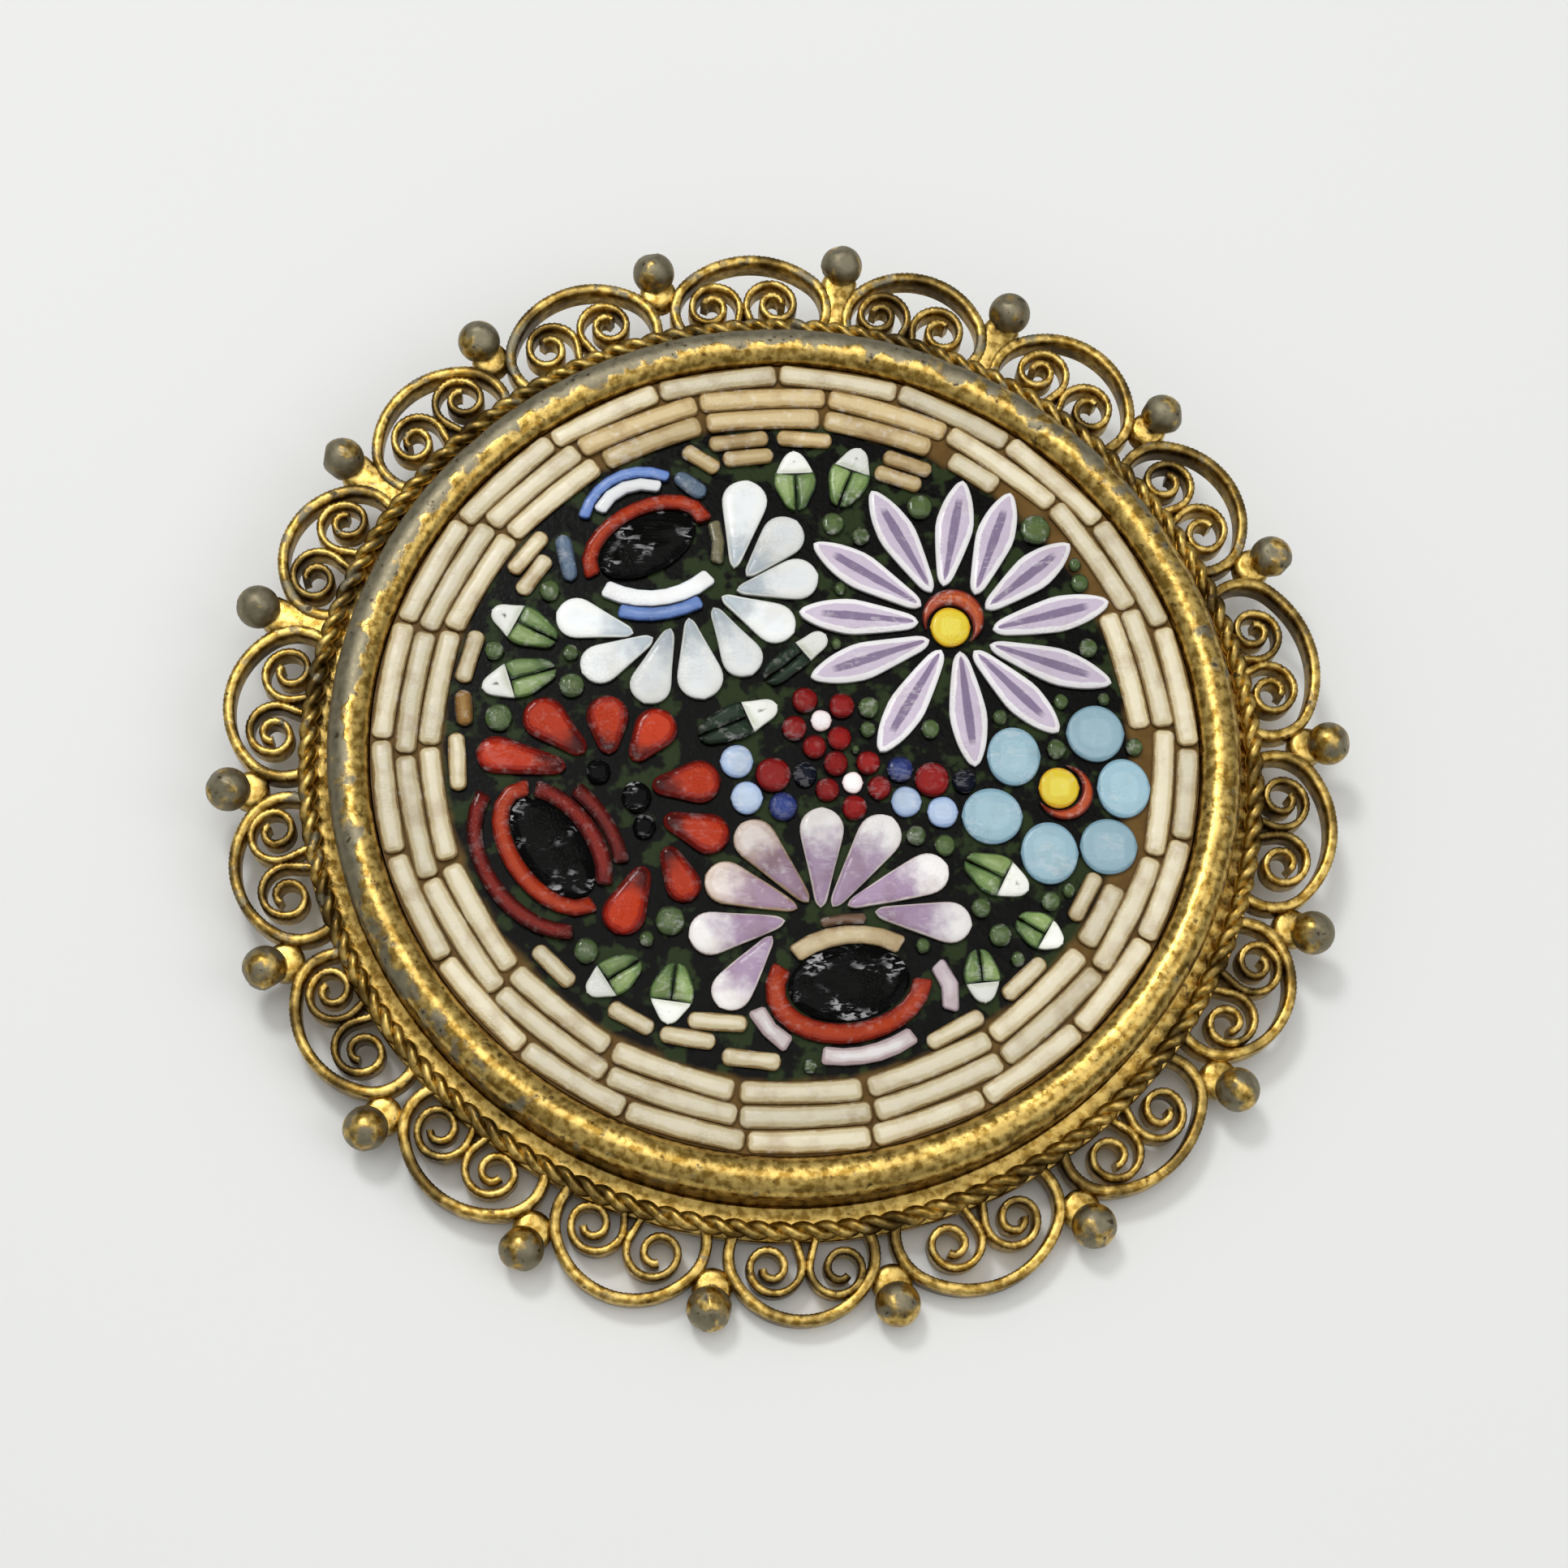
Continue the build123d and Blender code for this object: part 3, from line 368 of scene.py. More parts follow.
def turning(count: int) -> np.ndarray:
    """Give even angles of a whole turn."""
    return np.linspace(0, 2 * math.pi, count, endpoint=False)


def straight(start: np.ndarray, end: np.ndarray, count: int) -> np.ndarray:
    """Give even points of a straight line."""
    share = np.linspace(0, 1, count)[:, None]
    return start * (1 - share) + end * share


def run_along(line: np.ndarray) -> np.ndarray:
    """Give the distance along a line of each of its points."""
    return np.concatenate(([0], np.cumsum(np.linalg.norm(np.diff(line, axis=0), axis=1))))


def respaced(line: np.ndarray, spots: np.ndarray) -> np.ndarray:
    """Give a line's points at other distances along it."""
    return np.stack([np.interp(spots, run_along(line), line[:, i]) for i in (0, 1)], axis=1)


def directions(line: np.ndarray) -> tuple[np.ndarray, np.ndarray]:
    """Give the directions at each point of a line.

    Args:
        line: Its points.

    Returns:
        Directions along it, and those to its left.
    """
    steps = np.gradient(line, axis=0)
    steps /= np.linalg.norm(steps, axis=1)[:, None]
    return steps, np.stack((-steps[:, 1], steps[:, 0]), axis=1)


def put(name: str, data: object) -> bpy.types.Object:
    """Put an object in the scene.

    Args:
        name: Its name.
        data: Its mesh, light or camera.

    Returns:
        The object.
    """
    made = bpy.data.objects.new(name, data)
    bpy.context.scene.collection.objects.link(made)
    return made


@dataclass(frozen=True)
class Level:
    """How the brooch's level frame lies on the table.

    Attributes:
        tilt: Its lean, in radians about the x axis.
        lift: Height of its origin, in millimetres.
    """

    tilt: float
    lift: float

    @classmethod
    def from_record(cls, record: dict) -> "Level":
        """Read the lean from the pin's mount.

        Args:
            record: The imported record.

        Returns:
            The level frame.
        """
        mount = record["mounts"][0]
        tilt = math.asin(mount["axis"][1])
        height = mount["pos_m"][2] * 1000
        return cls(tilt, height - FINDINGS_Y * math.sin(tilt) - PIN_Z * math.cos(tilt))

    def matrix(self) -> Matrix:
        """Give the matrix from the frame's millimetres to metres."""
        place = Matrix.Translation((0, 0, self.lift / 1000))
        return place @ Matrix.Rotation(self.tilt, 4, "X") @ Matrix.Scale(0.001, 4)


# Shader work

class Shader:
    """Builds one node tree, a material's or a group's."""

    def __init__(self, tree: bpy.types.NodeTree) -> None:
        """Start from an empty tree."""
        self.tree = tree
        tree.nodes.clear()

    def node(self, kind: str, settings: dict | None = None, **inputs: object) -> bpy.types.Node:
        """Add a node.

        Args:
            kind: Its type without the common prefix.
            settings: Its properties.
            **inputs: Values or sockets, by a name with underlines for blanks, or by number as i0, i1.

        Returns:
            The node.
        """
        made = self.tree.nodes.new(kind if kind.startswith("Node") else "ShaderNode" + kind)
        for key, value in (settings or {}).items():
            setattr(made, key, value)
        for key, value in inputs.items():
            numbered = key[0] == "i" and key[1:].isdigit()
            socket = made.inputs[int(key[1:]) if numbered else key.replace("_", " ")]
            if isinstance(value, bpy.types.NodeSocket):
                self.tree.links.new(value, socket)
            else:
                socket.default_value = value
        return made

    def math(self, operation: str, *values: object) -> bpy.types.NodeSocket:
        """Add a sum of numbers or sockets."""
        inputs = {f"i{i}": v for i, v in enumerate(values)}
        return self.node("Math", {"operation": operation}, **inputs).outputs[0]

    def times(self, first: object, second: object) -> bpy.types.NodeSocket:
        """Multiply two numbers or sockets."""
        return self.math("MULTIPLY", first, second)

    def ramp(self, value: object, low: object, high: object, start: float = 0, end: float = 1) -> object:
        """Add a smooth step from one result to another, where the value goes from low to high."""
        inputs = {"i0": value, "i1": low, "i2": high, "i3": start, "i4": end}
        return self.node("MapRange", {"interpolation_type": "SMOOTHSTEP"}, **inputs).outputs[0]

    def edge(self, value: object, place: object, soft: float, start: float = 0, end: float = 1) -> object:
        """Add a smooth step around a place that is a socket."""
        return self.ramp(value, self.math("SUBTRACT", place, soft), self.math("ADD", place, soft), start, end)

    def mix(self, share: object, first: object, second: object, blend: str = "MIX") -> object:
        """Mix two colours, by the share of the second."""
        settings = {"data_type": "RGBA", "blend_type": blend, "clamp_factor": True}
        return self.node("Mix", settings, i0=share, i6=first, i7=second).outputs[2]

    def millimetres(self) -> object:
        """Give the object's coordinates in millimetres."""
        place = self.node("TexCoord").outputs["Object"]
        return self.node("VectorMath", {"operation": "SCALE"}, i0=place, Scale=1000.0).outputs[0]

    def noise(self, scale: float, detail: float = 2.0, vector: object = None, **inputs: object) -> object:
        """Add noise, with its features for each millimetre and its octaves."""
        where = vector or self.millimetres()
        return self.node("TexNoise", Vector=where, Scale=scale, Detail=detail, **inputs).outputs[0]

    def stretched(self, turn: float, scale: tuple) -> object:
        """Give the place in millimetres, turned and stretched."""
        return self.node("Mapping", Vector=self.millimetres(), Rotation=(0, 0, turn), Scale=scale).outputs[0]

    def bump(self, strength: float, height: object) -> object:
        """Add a bump whose height is in millimetres."""
        return self.node("Bump", Strength=strength, Distance=0.001, Height=height).outputs[0]

    def value(self, name: str) -> object:
        """Read one of the mesh's named values."""
        return self.node("Attribute", {"attribute_name": name}).outputs["Fac"]


def new_group(name: str, inputs: dict, outputs: dict) -> tuple[Shader, object, object]:
    """Start a node group.

    Args:
        name: The group's name.
        inputs: Input names and kinds.
        outputs: Output names and kinds.

    Returns:
        The shader builder, the sockets of the inputs and those of the outputs.
    """
    tree = bpy.data.node_groups.new(name, "ShaderNodeTree")
    for sockets, way in ((inputs, "INPUT"), (outputs, "OUTPUT")):
        for label, kind in sockets.items():
            tree.interface.new_socket(label, in_out=way, socket_type="NodeSocket" + kind)
    shader = Shader(tree)
    return shader, shader.node("NodeGroupInput").outputs, shader.node("NodeGroupOutput").inputs


def make_cane_group() -> bpy.types.NodeTree:
    """Make the group that colours a piece of glass from its outline inwards.

    Returns:
        The group.
    """
    sizes = ("Rim Width", "Core Depth", "Base Share", "Mottling", "Speckle", "Stripe")
    inputs = {**dict.fromkeys(("Rim", "Body", "Core", "Base"), "Color"), **dict.fromkeys(sizes, "Float")}
    shader, take, result = new_group("Cane colours", inputs, {"Color": "Color"})
    edge, along, tone = (shader.value(name) for name in ("edge", "along", "tone"))
    swirl = shader.math("SUBTRACT", shader.noise(1.7, 3.0), 0.5)
    wander = shader.math("MULTIPLY_ADD", swirl, 0.16, edge)
    depth = take["Core Depth"]
    inner = shader.ramp(wander, shader.math("SUBTRACT", depth, 0.05), shader.math("ADD", depth, 0.06))
    across = shader.math("MULTIPLY_ADD", swirl, 0.12, shader.value("across"))
    stripe = shader.ramp(across, take["Stripe"], shader.math("ADD", take["Stripe"], 0.08), 1, 0)
    inner = shader.math("MAXIMUM", inner, shader.times(stripe, shader.ramp(along, 0.76, 0.84, 1, 0)))
    colour = shader.mix(inner, take["Body"], take["Core"])
    start = shader.math("MULTIPLY_ADD", swirl, 0.5, along)
    colour = shader.mix(shader.edge(start, take["Base Share"], 0.2, 1, 0), colour, take["Base"])
    colour = shader.mix(shader.edge(wander, take["Rim Width"], 0.03, 1, 0), colour, take["Rim"])
    # Stains and pale streaks of the melt
    stain = shader.times(shader.ramp(shader.noise(0.9, 4.0), 0.48, 0.72), take["Mottling"])
    dark = shader.mix(1.0, colour, (0.62, 0.52, 0.42, 1), "MULTIPLY")
    colour = shader.mix(shader.times(stain, 0.8), colour, dark)
    pale = shader.times(shader.ramp(shader.noise(3.1, 2.0), 0.55, 0.75), take["Mottling"])
    colour = shader.mix(shader.times(pale, 0.3), colour, (0.9, 0.86, 0.8, 1))
    level = shader.math("MULTIPLY_ADD", tone, 0.3, 0.82)
    colour = shader.node("HueSaturation", Value=level, Color=colour).outputs[0]
    # Pale spots in chipped patches, partly real scratches and partly painted glints of reflected light, and
    # darker colour along the outline
    patch = shader.ramp(shader.noise(0.8, 2.0), 0.5, 0.66)
    scrape = shader.noise(2.6, 5.0, shader.stretched(0.9, (1.0, 2.4, 1.0)), Distortion=0.7)
    scratch_glints = shader.times(shader.ramp(scrape, 0.5, 0.58), patch)
    # Painted glints: the pale grey of these spots stands for light glancing off the chipped patches, on top
    # of the scratches' own paleness
    colour = shader.mix(shader.times(scratch_glints, take["Speckle"]), colour, (0.74, 0.72, 0.74, 1))
    # Darker along each piece's outline, down to 0.6 at the very edge
    outline_dark = shader.ramp(edge, 0.0, 0.04, 0.6, 1.0)
    outline_dark_colour = shader.node("CombineColor", i0=outline_dark, i1=outline_dark, i2=outline_dark).outputs[0]
    shader.tree.links.new(shader.mix(1.0, colour, outline_dark_colour, "MULTIPLY"), result[0])
    return shader.tree


def make_ground_group() -> bpy.types.NodeTree:
    """Make the group for a face ground flat by hand: pits, scratches and a soft wave.

    Returns:
        The group.
    """
    outputs = {"Roughness": "Float", "Normal": "Vector"}
    shader, take, result = new_group("Ground face", {"Gloss": "Float"}, outputs)
    patch = shader.ramp(shader.noise(0.55, 2.0), 0.53, 0.6)
    pits = shader.times(shader.ramp(shader.noise(8.0, 2.0), 0.42, 0.6), patch)
    wave = shader.noise(0.8, 1.0)
    scratch = shader.ramp(shader.noise(1.6, 4.0, shader.stretched(0.6, (0.5, 9.0, 1.0))), 0.36, 0.44)
    height = shader.math("ADD", shader.times(pits, 0.014), shader.times(wave, 0.07))
    height = shader.math("MULTIPLY_ADD", scratch, 0.003, height)
    shader.tree.links.new(shader.math("MULTIPLY_ADD", patch, 0.1, take["Gloss"]), result["Roughness"])
    shader.tree.links.new(shader.bump(0.85, height), result["Normal"])
    return shader.tree


def make_gilt_group() -> bpy.types.NodeTree:
    """Make the group for worn gilt brass: gold, brown tarnish, and bare grey where it is rubbed.

    Returns:
        The group.
    """
    inputs = dict.fromkeys(("Worn", "Grain", "Tarnish", "Rough"), "Float")
    outputs = {"Color": "Color", "Roughness": "Float", "Normal": "Vector"}
    shader, take, result = new_group("Worn gilt", inputs, outputs)
    broad = shader.noise(0.55, 4.0)
    fine = shader.noise(3.2, 4.0)
    gold = shader.mix(shader.ramp(fine, 0.35, 0.65), linear("927230"), linear("dabb6c"))
    tarnish = shader.times(shader.ramp(broad, 0.42, 0.66), take["Tarnish"])
    colour = shader.mix(tarnish, gold, linear("4e3d20"))
    uneven = shader.times(shader.math("SUBTRACT", shader.noise(1.3, 5.0), 0.5), 1.7)
    bare = shader.ramp(shader.math("ADD", take["Worn"], uneven), 0.4, 0.62)
    colour = shader.mix(bare, colour, shader.mix(fine, linear("625b49"), linear("a39b82")))
    speck = shader.ramp(shader.noise(2.6, 6.0), 0.64, 0.7)
    colour = shader.mix(shader.times(speck, 0.75), colour, linear("3a2c1c"))
    height = shader.math("MULTIPLY_ADD", shader.noise(5.5, 4.0), take["Grain"], shader.times(bare, -0.012))
    rough = shader.math("MULTIPLY_ADD", shader.ramp(fine, 0.3, 0.7), 0.16, take["Rough"])
    rough = shader.math("MULTIPLY_ADD", bare, 0.22, rough)
    for name, socket in zip(outputs, (colour, rough, shader.bump(0.9, height))):
        shader.tree.links.new(socket, result[name])
    return shader.tree


class Palette:
    """Makes and keeps the materials."""

    def __init__(self) -> None:
        """Make the shared groups."""
        self.cane, self.ground, self.gilt = make_cane_group(), make_ground_group(), make_gilt_group()
        self.made: dict[Enum, bpy.types.Material] = {}

    @staticmethod
    def start(name: str) -> tuple[bpy.types.Material, Shader]:
        """Start a material.

        Args:
            name: Its name.

        Returns:
            The material and the builder of its tree.
        """
        material = bpy.data.materials.new(name)
        material.use_nodes = True
        return material, Shader(material.node_tree)

    @staticmethod
    def close(shader: Shader, **inputs: object) -> None:
        """End a material with its main shader, which takes the inputs."""
        body = shader.node("BsdfPrincipled", **inputs)
        shader.node("OutputMaterial", Surface=body.outputs[0])

    def glass(self, kind: Glass) -> bpy.types.Material:
        """Give the material of a kind of glass.

        Args:
            kind: The kind.

        Returns:
            The material, made at its first use.
        """
        if kind not in self.made:
            finish = kind.value
            material, shader = self.start("glass_" + kind.name.lower())
            cane = shader.node("Group", {"node_tree": self.cane})
            for socket in cane.inputs:
                value = getattr(finish, socket.name.lower().replace(" ", "_"))
                socket.default_value = linear(value or finish.body) if isinstance(value, str) else value
            ground = shader.node("Group", {"node_tree": self.ground}, Gloss=finish.gloss)
            rough, normal = ground.outputs
            face = {"IOR": 1.5, "Specular_IOR_Level": finish.shine}
            self.close(shader, Base_Color=cane.outputs[0], Roughness=rough, Normal=normal, **face)
            self.made[kind] = material
        return self.made[kind]

    def metal(self, kind: Metal) -> bpy.types.Material:
        """Give the material of a kind of metal.

        Args:
            kind: The kind.

        Returns:
            The material, made at its first use.
        """
        if kind not in self.made:
            finish = kind.value
            material, shader = self.start(finish.name)
            sizes = {"Grain": finish.grain, "Tarnish": finish.tarnish, "Rough": finish.rough}
            gilt = shader.node("Group", {"node_tree": self.gilt}, Worn=shader.value("worn"), **sizes)
            colour, rough, normal = gilt.outputs
            self.close(shader, Base_Color=colour, Roughness=rough, Normal=normal, Metallic=1.0)
            self.made[kind] = material
        return self.made[kind]

    def mastic(self) -> bpy.types.Material:
        """Give the material of the bed: black with olive chips, and brown grout under the rods.

        Returns:
            The material.
        """
        material, shader = self.start("mastic")
        flat = shader.node("VectorMath", {"operation": "MULTIPLY"}, i0=shader.millimetres(), i1=(1, 1, 0))
        reach = shader.node("VectorMath", {"operation": "LENGTH"}, i0=flat.outputs[0]).outputs["Value"]
        reach = shader.math("MULTIPLY_ADD", shader.noise(0.8, 2.0), 0.6, reach)
        grout = shader.mix(shader.noise(1.6, 4.0), linear("4a3416"), linear("7e6032"))
        olive = shader.mix(shader.ramp(shader.noise(1.0, 3.0), 0.5, 0.6), linear("060504"), linear("28341a"))
        rough = shader.ramp(shader.noise(2.0, 3.0), 0.3, 0.7, 0.16, 0.4)
        colour = shader.mix(shader.ramp(reach, 12.5, 12.9), olive, grout)
        grain = shader.bump(0.7, shader.times(shader.noise(5.0, 3.0), 0.02))
        self.close(shader, Base_Color=colour, Roughness=rough, Specular_IOR_Level=0.06, Normal=grain)
        return material

    def paper(self) -> bpy.types.Material:
        """Give the floor's material.

        Returns:
            The material.
        """
        material, shader = self.start("paper")
        colour = shader.mix(shader.noise(0.02, 2.0), (0.80, 0.81, 0.80, 1), (0.83, 0.84, 0.83, 1))
        self.close(shader, Base_Color=colour, Roughness=0.7)
        return material


# Building blocks

@dataclass
class Builder:
    """Turns shapes into objects that ride on the CAD body, by the level frame and the materials."""

    level: Level
    palette: Palette

    def build(
        self, name: str, shape: Shape, materials: list, slot: str, replaces: tuple = (), sharp: float = 40,
    ) -> None:
        """Make the object.

        Args:
            name: The piece's name.
            shape: Its mesh.
            materials: Its materials, in the order of its paint numbers.
            slot: The record's material slot, not used.
            replaces: CAD nodes that it stands for.
            sharp: Angle in degrees from which an edge is sharp.
        """
        mesh = bpy.data.meshes.new(name)
        turn = np.array(self.level.matrix())
        points = np.vstack(shape.points) @ turn[:3, :3].T + turn[:3, 3]
        mesh.from_pydata(points.tolist(), [], shape.faces)
        for value, store in shape.values.items():
            layer = mesh.attributes.new(value, "FLOAT", "POINT")
            layer.data.foreach_set("value", np.concatenate(store).astype(np.float32))
        for material in materials:
            mesh.materials.append(material)
        mesh.polygons.foreach_set("material_index", shape.paint)
        mesh.polygons.foreach_set("use_smooth", [True] * len(mesh.polygons))
        mesh.set_sharp_from_angle(angle=math.radians(sharp))
        mesh.update()
        made = put(name, mesh)
        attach(made, "root")
        if replaces:
            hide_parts(*replaces)
        LOG.info("%s: %d faces", name, len(shape.faces))


# The places across a tessera where its face has points, as shares of its half width
ACROSS = np.array((-1, -0.94, -0.82, -0.62, -0.32, 0, 0.32, 0.62, 0.82, 0.94, 1))


@dataclass
class Mosaic:
    """The glass picture: every tessera with its domed, slightly uneven face.

    Attributes:
        builder: Makes the objects.
        top: Height of the ground faces.
        bottom: Height of the undersides.
        spread: How much further than its solid a tessera reaches on each side.
        uneven: How much that changes along it.
        reach: How much further it reaches at each end.
        rod_ring: Radius of the outer ring of rods.
        rod_pitch: Distance to the next ring.
        rod_width: A rod's width.
        rod_gap: Gap between the ends of two rods.
        short_width: A short rod's width.
        corner: Radius of a rod's corners.
        straightening: How far rods go from bent to straight, from 0 to 1.
        band_corner: Radius of a band's corners.
        eye_gap: Gap between an eye's dot and its ring.
        leaf_base: Radius of a leaf's foot.
        leaf_tip: Radius of its tip.
        leaf_border: Share of its length where the white tip starts.
        leaf_gap: Half the gap there.
        vein: Half the gap between its halves.
        random: The hand-made unevenness.
        shape: The mesh in hand.
        kinds: The glass in it.
    """

    builder: Builder
    top: float = 1.7
    bottom: float = 1.47
    spread: float = 0.038
    uneven: float = 0.012
    reach: float = 0.025
    rod_ring: float = 14.5
    rod_pitch: float = 0.85
    rod_width: float = 0.73
    rod_gap: float = 0.12
    short_width: float = 0.55
    corner: float = 0.22
    straightening: float = 0.5
    band_corner: float = 0.1
    eye_gap: float = 0.16
    leaf_base: float = 0.42
    leaf_tip: float = 0.34
    leaf_border: float = 0.62
    leaf_gap: float = 0.04
    vein: float = 0.065
    random: np.random.Generator = field(default_factory=lambda: np.random.default_rng(7))
    shape: Shape = field(default_factory=Shape)
    kinds: list = field(default_factory=list)

    def close(self, name: str, slot: str) -> None:
        """Make the piece that stands for a node, and start the next one.

        Args:
            name: The CAD node.
            slot: The record's material slot.
        """
        materials = [self.builder.palette.glass(kind) for kind in self.kinds]
        self.builder.build(name + "_glass", self.shape, materials, slot, (name,))
        self.shape, self.kinds = Shape(), []

    def tessera(
        self, line: np.ndarray, half: np.ndarray, kind: Glass, dome: float = 0.24, drop: float = 0.09,
    ) -> None:
        """Add one tessera along a line.

        Args:
            line: Points of its line.
            half: Half its width at each point.
            kind: Its glass.
            dome: Width of the rounding along its outline.
            drop: Depth of that rounding.
        """
        if kind not in self.kinds:
            self.kinds.append(kind)
        rand = self.random
        steps, normal = directions(line)
        line = np.vstack((line[:1] - self.reach * steps[:1], line[1:-1], line[-1:] + self.reach * steps[-1:]))
        run = run_along(line)
        share = run / run[-1]
        extra = self.spread + self.uneven * np.sin(share * rand.uniform(3, 9) + rand.uniform(0, 6))
        width = np.maximum(half + extra * np.clip(half / 0.15, 0, 1), 0.015)[:, None]
        place = line[:, None, :] + normal[:, None, :] * (ACROSS * width)[:, :, None]
        edge = np.minimum(width * (1 - np.abs(ACROSS)), np.minimum(run, run[-1] - run)[:, None] + 0.01)
        round_off = np.clip(1 - edge / dome, 0, 1) ** 2
        lean = rand.normal(0, 0.014, 2)
        slope = ((place - place.reshape(-1, 2).mean(axis=0)) * lean).sum(axis=2)
        height = self.top - 0.012 - rand.uniform(0, 0.03) - drop * round_off + slope
        height = np.clip(height, self.bottom + 0.03, self.top)
        rows, columns = height.shape
        top = np.dstack((place, height)).reshape(-1, 3)
        index = np.arange(rows * columns).reshape(rows, columns)
        rim = np.concatenate((index[:, 0], index[-1, 1:], index[-2::-1, -1], index[0, -2:0:-1]))
        low = top[rim]
        low[:, 2] = self.bottom
        base, count = len(top), len(rim)
        faces = grid_faces(rows, columns)
        faces += [(rim[(i + 1) % count], rim[i], base + i, base + (i + 1) % count) for i in range(count)]
        faces.append(tuple(range(base, base + count)))
        along = np.repeat(share, columns)
        self.shape.add(
            np.vstack((top, low)), faces, self.kinds.index(kind), flip=True, tone=rand.uniform(0, 1),
            edge=np.append(edge, np.zeros(count)), along=np.append(along, along[rim]),
            across=np.append(np.tile(np.abs(ACROSS), rows), np.ones(count)),
        )

    @staticmethod
    def axis(start: tuple, end: tuple) -> tuple[np.ndarray, np.ndarray]:
        """Give the start in the level frame and the direction of a line between chart points."""
        way = np.array(end) - np.array(start)
        return np.array(start) + CHART_SHIFT, way / np.linalg.norm(way)

    @staticmethod
    def hull(circles: tuple, count: int) -> tuple[np.ndarray, np.ndarray]:
        """Give the half widths of the hull of circles on a line, a little smoothed.

        Args:
            circles: Their places and radii.
            count: Number of results.

        Returns:
            Places along the line and half widths there.
        """
        low = min(x - r for x, r in circles)
        high = max(x + r for x, r in circles)
        x = np.linspace(low, high, 240)
        y = np.max([np.sqrt(np.clip(r * r - (x - c) ** 2, 0, None)) for c, r in circles], axis=0)
        keep = []
        for point in zip(x, y):
            while len(keep) > 1:
                (ax, ay), (bx, by) = keep[-2:]
                if (bx - ax) * (point[1] - ay) - (by - ay) * (point[0] - ax) < 0:
                    break
                keep.pop()
            keep.append(point)
        hull = np.array(keep)
        squares = np.pad(np.interp(x, hull[:, 0], hull[:, 1]) ** 2, 20, mode="reflect", reflect_type="odd")
        smooth = np.sqrt(np.clip(np.convolve(squares, np.full(41, 1 / 41), mode="valid"), 0, None))
        places = (low + high) / 2 - (high - low) / 2 * np.cos(np.linspace(0, math.pi, count))
        return places, np.interp(places, x, smooth)

    def spine(self, start: tuple, end: tuple, circles: tuple, kind: Glass, **form: float) -> None:
        """Add a tessera that is the hull of circles along a straight line.

        Args:
            start: Chart point of the line's start, the piece's base.
            end: Chart point of its end.
            circles: Places along the line and radii.
            kind: Its glass.
            **form: The rounding's sizes.
        """
        begin, way = self.axis(start, end)
        places, widths = self.hull(circles, 22)
        self.tessera(begin + places[:, None] * way, widths, kind, **form)

    def oval(self, centre: tuple, halves: object, turn: float, kind: Glass, **form: float) -> None:
        """Add an oval or round tessera.

        Args:
            centre: Its chart point.
            halves: Its half lengths, or one radius.
            turn: Its turn in degrees.
            kind: Its glass.
            **form: The rounding's sizes.
        """
        long, wide = np.broadcast_to(halves, 2)
        share = -np.cos(np.linspace(0, math.pi, 20))
        line = np.array(centre) + CHART_SHIFT + long * share[:, None] * polar(1, math.radians(turn))
        self.tessera(line, wide * np.sqrt(np.clip(1 - share ** 2, 0, 1)), kind, **form)

    def strip(self, line: np.ndarray, width: float, corner: float, kind: Glass, **form: float) -> None:
        """Add a tessera of even width with rounded corners.

        Args:
            line: Its middle line.
            width: Its width.
            corner: Radius of its corners.
            kind: Its glass.
            **form: The rounding's sizes.
        """
        run = run_along(line)[-1]
        ends = corner * (1 - np.cos(np.linspace(0, math.pi / 2, 5)))
        inner = np.linspace(corner, run - corner, max(3, int(run / 0.5)))
        spots = np.concatenate((ends[:-1], inner, run - ends[-2::-1]))
        near = np.clip(corner - np.minimum(spots, run - spots), 0, None)
        half = width / 2 - corner + np.sqrt(np.clip(corner ** 2 - near ** 2, 0, None))
        self.tessera(respaced(line, spots), half, kind, **form)

    def band(
        self, centre: tuple, halves: tuple, width: float, turn: float, first: float, last: float, kind: Glass,
    ) -> None:
        """Add a bent band on an oval.

        Args:
            centre: The oval's chart point.
            halves: Its half lengths inside the band.
            width: The band's width.
            turn: The oval's turn in degrees.
            first: Angle where the band starts.
            last: Angle where it ends.
            kind: Its glass.
        """
        angles = np.radians(np.linspace(first - turn, last - turn, 60))
        long, wide = np.add(halves, width / 2)
        reach = 1 / np.sqrt((np.cos(angles) / long) ** 2 + (np.sin(angles) / wide) ** 2)
        line = np.array(centre) + CHART_SHIFT + polar(reach, angles + math.radians(turn))
        self.strip(line, width, self.band_corner, kind, dome=0.16, drop=0.06)

    def eye(self, centre: tuple, radius: float, dot: tuple, dot_radius: float) -> None:
        """Add a round eye: a yellow dot in a russet ring that is cut away around it.

        Args:
            centre: The eye's chart point.
            radius: Its radius.
            dot: The dot's chart point.
            dot_radius: The dot's radius.
        """
        offset = np.array(dot) - np.array(centre)
        open_at = math.atan2(offset[1], offset[0])
        way = polar(1, np.linspace(open_at, open_at + 2 * math.pi, 200))
        along = way @ offset
        cut = along + np.sqrt((dot_radius + self.eye_gap) ** 2 - offset @ offset + along ** 2)
        keep = radius - cut > 0.03
        middle, half = (radius + cut[keep]) / 2, (radius - cut[keep]) / 2
        pick = np.linspace(0, keep.sum() - 1, 34).astype(int)
        line = np.array(centre) + CHART_SHIFT + (middle[:, None] * way[keep])[pick]
        self.tessera(line, half[pick], Glass.RUSSET, dome=0.14, drop=0.06)
        self.oval(dot, dot_radius, 0, Glass.YELLOW)

